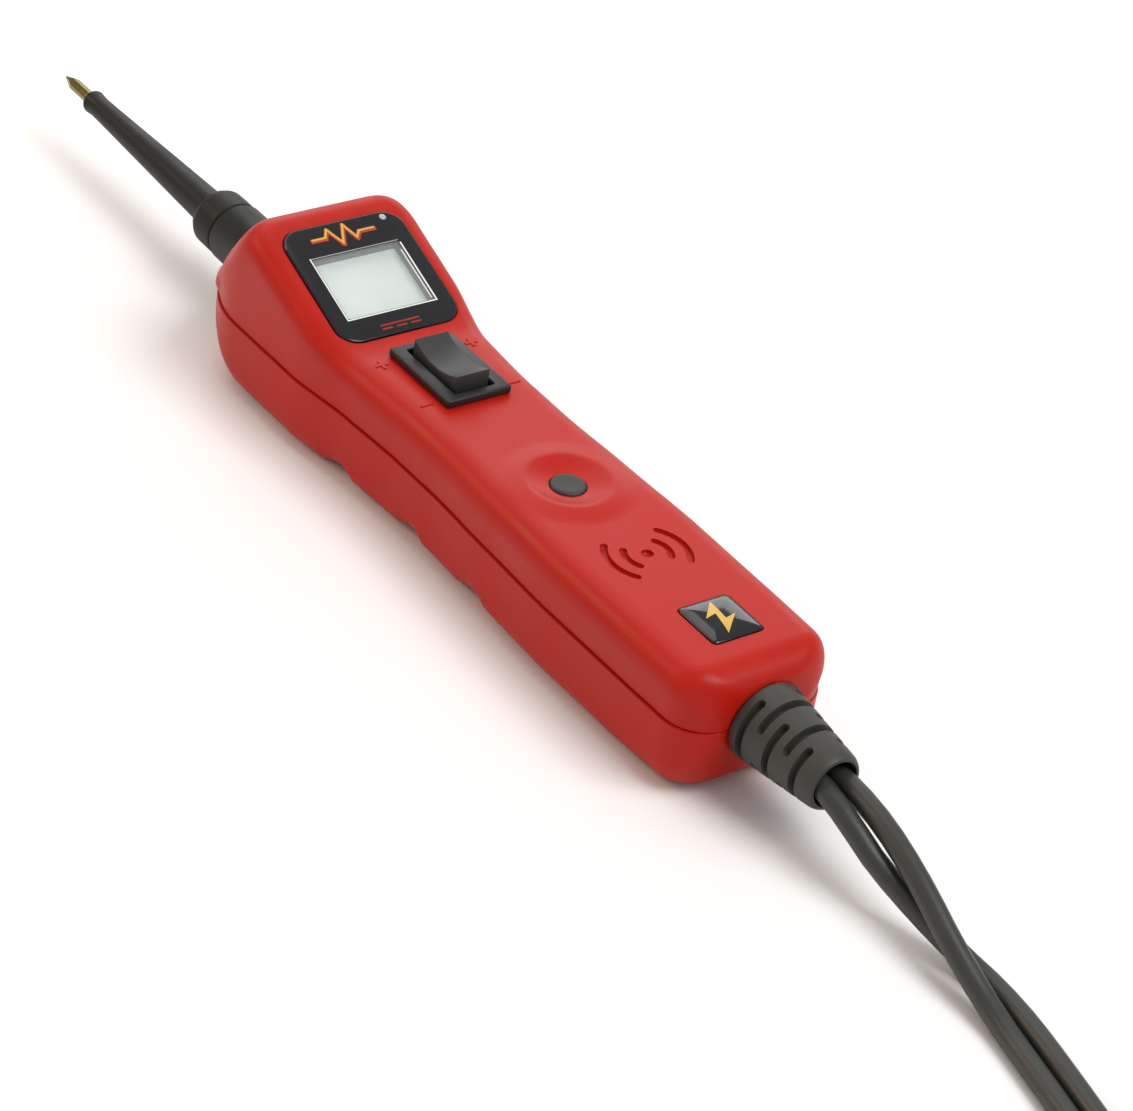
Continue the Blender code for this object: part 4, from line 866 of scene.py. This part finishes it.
def make_top_shell():
    def change(point):
        point.z = dished(*point)
        point.y = bossed(*point)
        return point

    cover = shell("top_shell", upper_half, "dish", change)
    cover = cut(cover, [cavity(upper_half, SEAM_Z - 1 * MM)])
    recess = rounded((0.0, 0.0), LABEL_LENGTH + 0.5 * MM, LABEL_WIDTH + 0.5 * MM, 4.75 * MM, 10)
    badge = rounded((BADGE_X, 0.0), BADGE_SIZE + 0.5 * MM, BADGE_SIZE + 0.5 * MM, 1.2 * MM)
    cutters = [on_label(extruded("recess", recess, -0.6 * MM, 5 * MM)),
               block("switch_opening", (ROCKER_X - 9.6 * MM, -6.5 * MM, 20 * MM),
                     (ROCKER_X + 9.6 * MM, 6.5 * MM, 32 * MM)),
               rod("button_hole", (BUTTON_X, 0.0), BUTTON_RADIUS + 0.15 * MM, 20 * MM, 30 * MM),
               extruded("badge_recess", badge, HANDLE_Z - 0.5 * MM, 30 * MM)]
    for side in (1, -1):
        cutters.append(rod("light_hole", (side * WORK_LIGHT[1], WORK_LIGHT[2]),
                           WORK_LIGHT_RADIUS + 0.2 * MM, -58 * MM, -44 * MM, "X", 32))
    cover = cut(cover, cutters + sound_cutters() + end_holes())
    window = block("opening", (WINDOW_X - 8.8 * MM, -11.3 * MM, -6 * MM),
                   (WINDOW_X + 8.8 * MM, 11.3 * MM, 2 * MM))
    lamp = rod("lamp_hole", POLARITY_LIGHT, 1.4 * MM, -6 * MM, 1 * MM)
    cover = cut(cover, [on_label(window), on_label(lamp)])
    placed(smoothed(cover, 32), "tester", "red_shell", RED, "top_cover")


def make_bottom_shell():
    cover = shell("bottom_shell", lower_half, "scoops")
    cover = cut(cover, [cavity(lower_half, SEAM_Z + 1 * MM)])
    holes = end_holes()
    for x, y in HOUSING_SCREWS:
        for side in (1, -1):
            holes.append(rod("head_hole", (x, side * y), SCREW_HEAD_RADIUS, -1 * MM, 4.5 * MM))
    cover = cut(cover, holes)
    placed(smoothed(cover, 32), "tester", "red_shell", RED, "bottom_cover")


def make_marks():
    """Small raised plus and minus signs beside the rocker switch."""
    base, peak = HANDLE_Z - 0.5 * MM, HANDLE_Z + 0.18 * MM
    thin, long = 0.3 * MM, 1.4 * MM
    marks = ((5.3, 10.6, "plus"), (5.3, -10.6, "plus"), (20.7, 10.3, "minus"),
             (20.7, -10.3, "minus"))
    for number, (x, y, sign) in enumerate(marks, 1):
        x, y = x * MM, y * MM
        mark = block(f"mark_{number}", (x - thin, y - long, base), (x + thin, y + long, peak))
        if sign == "plus":
            stroke = block("stroke", (x - long, y - thin, base - 0.1 * MM),
                           (x + long, y + thin, peak))
            mark = cut(mark, [stroke], "UNION")
        placed(smoothed(bevelled(mark, 0.12 * MM, 2)), "tester", "red_shell", RED, "top_cover")


# ---- display
# On the label's own plane, X down the housing and Y across, from the label's middle
WINDOW_X = 1.1 * MM
POLARITY_LIGHT = (-13.2 * MM, 10.3 * MM)
PULSE_X = -11.2
PULSE = ((0.0, -7.6), (0.0, -4.6), (-1.9, -3.4), (2.1, -1.4), (-2.3, 0.6), (1.4, 2.2), (0.0, 3.4),
         (0.0, 6.8))


def bar(name, start, end, width, low, high):
    """A straight printed line between two points in XY."""
    a, b = Vector(start), Vector(end)
    along = (b - a).normalized() * width / 2
    side = Vector((-along.y, along.x))
    a, b = a - along, b + along
    return extruded(name, [a + side, a - side, b - side, b + side], low, high)


def round_window(length, width, corner):
    return rounded((WINDOW_X, 0.0), length * MM, width * MM, corner * MM)


def make_label():
    label = extruded("label_plate", rounded((0.0, 0.0), LABEL_LENGTH, LABEL_WIDTH, 4.5 * MM, 12),
                     -0.3 * MM, 0.5 * MM)
    label = bevelled(label, 0.45 * MM, 5, 50)
    label = cut(label, [extruded("hole", round_window(15.6, 20.6, 0.4), -3 * MM, 3 * MM)])
    label = cut(label, [rod("lamp_hole", POLARITY_LIGHT, 0.8 * MM, -3 * MM, 3 * MM)])
    placed(smoothed(on_label(label)), "tester", "gloss_black", GLOSS_BLACK, "display_label")


def make_prints():
    """The window's rim of painted glints, white on three edges and faint grey on the fourth, a
    pulse line above it and a direct-current sign below.
    """
    low, high = 0.3 * MM, 0.53 * MM
    x0, x1, y = -6.9 * MM, 9.15 * MM, 10.55 * MM
    # Painted glints: bright white lines along three of the window's edges, and a thinner one just
    # inside its +Y edge
    rim = [bar("rim", (x0, -y), (x1, -y), 0.28 * MM, low, high),
           bar("rim", (x1, -y + 0.3 * MM), (x1, y - 0.4 * MM), 0.28 * MM, low, high),
           bar("rim", (x0 + 0.8 * MM, y), (x1, y), 0.34 * MM, low, high),
           bar("glint", (x0 + 2.5 * MM, y - 0.75 * MM), (x1 - 0.9 * MM, y - 0.75 * MM), 0.2 * MM,
               low, 0.46 * MM)]
    placed(on_label(joined("window_rim_painted_glint", rim)), "tester", "white_plastic", WHITE,
           "display_label")
    # A fainter painted glint, in grey, along the window's fourth edge
    faint = bar("window_rim_painted_faint_glint", (x0, -y + 0.3 * MM), (x0, y - 0.3 * MM), 0.22 * MM, low, high)
    placed(on_label(faint), "tester", "white_plastic", FAINT_GLINT_GREY, "display_label")
    for name, look, shift, width, rise in (("pulse_mark_glow", RED_GLOW, 0.28, 1.0, 0.52),
                                           ("pulse_mark", GOLD, 0.0, 0.5, 0.55)):
        route = in_mm([(PULSE_X + shift + x, y) for x, y in PULSE])
        # Each line is a hair higher than the last, so that no two tops lie in one plane
        lines = [bar("line", a, b, width * MM, low, (rise + 0.001 * i) * MM)
                 for i, (a, b) in enumerate(zip(route, route[1:]))]
        placed(on_label(joined(name, lines)), "tester", "gloss_black", look, "display_label")
    current = [bar("line", (12.1 * MM, -4.4 * MM), (12.1 * MM, 4.4 * MM), 0.4 * MM, low, high)]
    current += [bar("dash", (13.0 * MM, y * MM), (13.0 * MM, (y + 2.0) * MM), 0.4 * MM, low, high)
                for y in (-4.4, -1.0, 2.4)]
    placed(on_label(joined("current_mark", current)), "tester", "gloss_black", RED_PRINT,
           "display_label")


def make_display():
    make_label()
    make_prints()
    profile = in_mm([(-0.6, 0.0), (-0.6, 0.75), (0.42, 0.75), (0.58, 0.5), (0.64, 0.0)])
    lens = turned("polarity_lens", profile, 32, centre=POLARITY_LIGHT, axis="Z")
    placed(smoothed(on_label(lens), 50), "tester", "lamp", LAMP, "display_label")
    window = extruded("window_pane", round_window(15.5, 20.5, 0.4), 0.1 * MM, 0.45 * MM)
    placed(on_label(window), "tester", "window", WINDOW, "display_window")
    panel = block("lcd_face", (-7.35 * MM, -10.95 * MM, -4.6 * MM),
                  (9.55 * MM, 10.95 * MM, -1.75 * MM))
    placed(on_label(bevelled(panel, 0.1 * MM, 1)), "tester", "display", LCD_GREY, "lcd_panel")
    walls = block("window_walls", (-7.3 * MM, -10.9 * MM, -1.65 * MM),
                  (9.5 * MM, 10.9 * MM, -0.35 * MM))
    inner = [Vector((x, y, -2.6 * MM)) for x, y in round_window(15.0, 20.0, 0.3)]
    outer = [Vector((x, y, 1.0 * MM)) for x, y in round_window(15.9, 20.9, 0.3)]
    walls = cut(walls, [loft("well", [inner, outer])])
    placed(on_label(walls), "tester", "white_plastic", WELL, "lcd_holder", "display_label")


def make_lights():
    """The work lights' lenses: rods with a domed front."""
    x, y, z = WORK_LIGHT
    front, rise, radius = x + 1.0 * MM, 1.4 * MM, WORK_LIGHT_RADIUS
    profile = [(x + 6 * MM, 0.0), (x + 6 * MM, radius), (front, radius)]
    profile += [(front - rise * math.sin(a), radius * math.cos(a)) for a in (0.3, 0.6, 0.9, 1.2)]
    profile.append((front - rise, 0.0))
    for name, side in (("right", 1), ("left", -1)):
        lens = turned(f"work_lens_{name}", profile, 32, centre=(side * y, z))
        placed(smoothed(lens, 50), "tester", "lamp", LAMP, f"work_light_{name}")


# ---- switch, button and badge
def make_switch():
    bezel = extruded("rocker_bezel", rounded((ROCKER_X, 0.0), 21.0 * MM, 15.0 * MM, 0.5 * MM, 4),
                     HANDLE_Z + 0.05 * MM, HANDLE_Z + 1.8 * MM)
    bezel = bevelled(bezel, 0.42 * MM, 3, 50)
    body = block("body", (ROCKER_X - 9.3 * MM, -6.2 * MM, 15.4 * MM),
                 (ROCKER_X + 9.3 * MM, 6.2 * MM, HANDLE_Z + 0.8 * MM))
    bezel = cut(bezel, [body], "UNION")
    rings = []
    for z, grow in in_mm([(17.0, 0.0), (28.55, 0.0), (28.85, 0.5), (32.0, 0.6)]):
        outline = rounded((ROCKER_X, 0.0), 17.0 * MM + grow, 9.3 * MM + grow, 0.5 * MM, 3)
        rings.append([Vector((x, y, z)) for x, y in outline])
    bezel = cut(bezel, [loft("well", rings)])
    placed(smoothed(bezel), "tester", "black_plastic", BLACK, "rocker_frame")

    # The paddle from its side, with its pivot at the origin and a hollow top
    half = 7.4
    outline = [(half * x, 3.4 + 1.9 * x ** 2) for x in (step / 16 - 1 for step in range(33))]
    outline += [(half, 1.1), (6.6, -1.5), (3.4, -3.5), (-3.4, -3.5), (-6.6, -1.5), (-half, 1.1)]
    paddle = extruded("rocker_paddle", in_mm(outline), -3.95 * MM, 3.95 * MM)
    paddle = bevelled(paddle, 0.22 * MM, 3, 40)
    paddle = cut(paddle, [rod("pins", (0.0, 0.0), 1.0 * MM, -5.9 * MM, 5.9 * MM)], "UNION")
    paddle.data.transform(Matrix.Translation((ROCKER_X, 0.0, ROCKER_PIVOT_Z))
                          @ Matrix.Rotation(math.pi / 2, 4, "X"))
    placed(smoothed(paddle), "rocker", "black_plastic", ROCKER_GREY, "rocker_button")


def make_button():
    profile = [(17.9, 0.0), (17.9, 2.0), (22.2, 2.0), (22.2, 5.0), (23.1, 5.0), (23.1, 3.6),
               (26.15, 3.6), (26.42, 3.52), (26.6, 3.33), (26.68, 3.05), (26.7, 2.6), (26.62, 1.3),
               (26.6, 0.0)]
    cap = turned("button_cap", in_mm(profile), 64, centre=(BUTTON_X, 0.0), axis="Z")
    placed(smoothed(cap), "mode_button", "black_plastic", BUTTON_GREY, "mode_button")


def dome(name, lift=0.0):
    """The badge's clear dome: square rings that shrink as they rise."""
    rings = []
    for size, height in ((1.0, -0.2), (1.0, 0.1), (0.985, 0.22), (0.95, 0.34), (0.88, 0.47),
                         (0.78, 0.60), (0.64, 0.72), (0.48, 0.80), (0.30, 0.85), (0.12, 0.87)):
        side, corner = BADGE_SIZE * size, max(0.15, size) * MM
        z = HANDLE_Z + height * MM + lift
        rings.append([Vector((x, y, z)) for x, y in rounded((BADGE_X, 0.0), side, side, corner, 6)])
    return loft(name, rings)


def make_badge():
    placed(smoothed(dome("badge_dome"), 40), "tester", "gloss_black", GLOSS_BLACK, "badge")
    bolt = [(-4.6, 0.9), (-0.5, -3.1), (-1.0, -0.6), (4.5, -1.7), (0.3, 3.0), (0.9, 0.4)]
    mark = extruded("badge_mark", [(BADGE_X + x * MM, y * MM) for x, y in bolt],
                    HANDLE_Z + 0.2 * MM, HANDLE_Z + 3 * MM)
    mark = cut(mark, [dome("skin", 0.03 * MM)], "INTERSECT")
    placed(smoothed(mark, 40), "tester", "gloss_black", GOLD, "badge")


# ---- probe and strain relief
def make_probe():
    shank = turned("probe_point", in_mm([(-138.0, 0.0), (-138.0, 1.4), (-64.8, 1.4), (-64.4, 1.9),
                                         (-46.0, 1.9), (-45.0, 1.0), (-45.0, 0.0)]), 64,
                   centre=(0.0, AXIS_Z))
    # Six facets grind the shank to a point: the distance from the axis to a facet, along X
    facets = ((-137.55, 0.03), (-133.05, 1.4), (-132.0, 1.73), (-131.9, 9.0), (-40.0, 9.0))
    rings = []
    for x, apothem in in_mm(facets):
        corners = arc_of((0.0, AXIS_Z), apothem / math.cos(math.pi / 6), 30, 330, 5)
        rings.append([Vector((x, y, z)) for y, z in corners])
    shank = cut(shank, [loft("facets", rings)], "INTERSECT")
    placed(smoothed(shank, 20), "tester", "brass", BRASS, "probe_tip")

    # A bead at the sleeve's tip, a long taper, a flare and a shoulder against the collar
    bore = 1.7
    bead = [(-124.75 + 1.2 * math.cos(a), 1.5 + 1.15 * math.sin(a))
            for a in (math.pi * (1 - 0.62 * i / 8) for i in range(9))]
    taper = [(-123.2, 2.52), (-122.4, 2.44), (-118.0, 2.55), (-99.0, 3.15), (-84.0, 3.62)]
    profile = [(-125.95, bore)] + bead + taper
    profile += arc_of((-75.0, 5.95), 2.05, -90, -8, 8) + arc_of((-71.1, 4.75), 1.7, 142, 90, 7)
    profile += [(-68.0, 6.48), (-65.7, 6.45), (-65.3, 6.2), (-65.3, bore)]
    sleeve = turned("probe_sleeve_grip", in_mm(profile), 96, loop=True, centre=(0.0, AXIS_Z))
    placed(smoothed(sleeve), "tester", "rubber", RUBBER, "probe_sleeve")

    profile = [(-65.0, 3.3), (-65.0, 6.3), (-64.85, 6.5), (-64.5, 6.65), (-47.2, 6.65),
               (-46.9, 6.8), (-46.6, 8.2), (-44.4, 8.2), (-44.0, 5.0), (-41.0, 5.0), (-41.0, 3.3)]
    collar = turned("nose_collar_ring", in_mm(profile), 96, loop=True, centre=(0.0, AXIS_Z))
    placed(smoothed(collar), "tester", "rubber", RUBBER, "nose_collar")


RELIEF_ENDS = ((116.8, 8.35), (137.55, 5.85))
SLOT_ROWS = 5
FIRST_SLOT_X = 119.7
SLOT_PITCH = 3.3
SLOT_DEPTH = 1.6
SLOT_HALF_WIDTH = 0.8
SLOT_HALF_ANGLE = math.radians(64)


def relief_radius(x):
    (x0, r0), (x1, r1) = RELIEF_ENDS
    return r0 + (r1 - r0) * (x - x0) / (x1 - x0)


def slot(x, middle):
    """A cutter for a slot part of the way round the relief, with round ends."""
    reach = SLOT_HALF_ANGLE * relief_radius(x)
    low, high = relief_radius(x) - SLOT_DEPTH, relief_radius(x) + 1.0
    rings = []
    for step in range(33):
        share = math.sin(math.pi / 2 * (step / 16 - 1))
        angle = middle + SLOT_HALF_ANGLE * share
        wide = SLOT_HALF_WIDTH * end_share(reach * (1 - abs(share)), SLOT_HALF_WIDTH)
        corners = in_mm([(x - wide, low), (x + wide, low), (x + wide, high), (x - wide, high)])
        rings.append([Vector((place, r * math.cos(angle), AXIS_Z + r * math.sin(angle)))
                      for place, r in corners])
    return loft("slot", rings)


def make_relief():
    base = 117.1
    profile = [(111.2, 4.8), (111.2, 7.8), (113.0, 7.8), (113.4, 7.35), (base, 7.35), (base, 7.9),
               (base + 0.15, 8.15), (base + 0.5, relief_radius(base + 0.5))]
    profile += [(x, relief_radius(x)) for x in (121.0, 125.0, 129.0, 133.0, 136.3)]
    profile += [(137.0, 5.72), (137.4, 5.45), (137.55, 5.1), (137.5, 4.85), (137.2, 4.8)]
    relief = turned("cable_relief", in_mm(profile), 96, loop=True, centre=(0.0, AXIS_Z))
    # Two slots to a row, and every other row turned by a quarter
    slots = [slot(FIRST_SLOT_X + SLOT_PITCH * row, math.pi * (side + row % 2 / 2))
             for row in range(SLOT_ROWS) for side in (0, 1)]
    relief = cut(relief, slots)
    placed(smoothed(relief), "tester", "rubber", RELIEF_RUBBER, "strain_relief")


def dress_nodes():
    """Materials for the CAD nodes that stay: what shows through openings, and the works inside."""
    looks = {"lcd_backlight": WHITE, "display_ribbon": AMBER,
             "polarity_led": LAMP, "rocker_plunger": WHITE, "switch_contact": BRASS,
             "mode_switch": BLACK, "speaker": BLACK, "circuit_board": BOARD_GREEN,
             "main_chip": BLACK, "circuit_breaker": WHITE, "tip_wire": RED_VINYL,
             "positive_wire": RED_VINYL, "negative_wire": BLACK_VINYL, "tip_socket": BRASS}
    for name, count, look in (("switch_terminal", 3, BRASS), ("housing_screw", 4, STEEL),
                              ("board_screw", 2, STEEL)):
        for number in range(1, count + 1):
            looks[f"{name}_{number}"] = look
    for name, look in looks.items():
        dress(NODES[name], look)


make_camera()
make_studio()
make_top_shell()
make_bottom_shell()
make_marks()
make_display()
make_lights()
make_switch()
make_button()
make_badge()
make_probe()
make_relief()
make_ties()
make_leads()
dress_nodes()
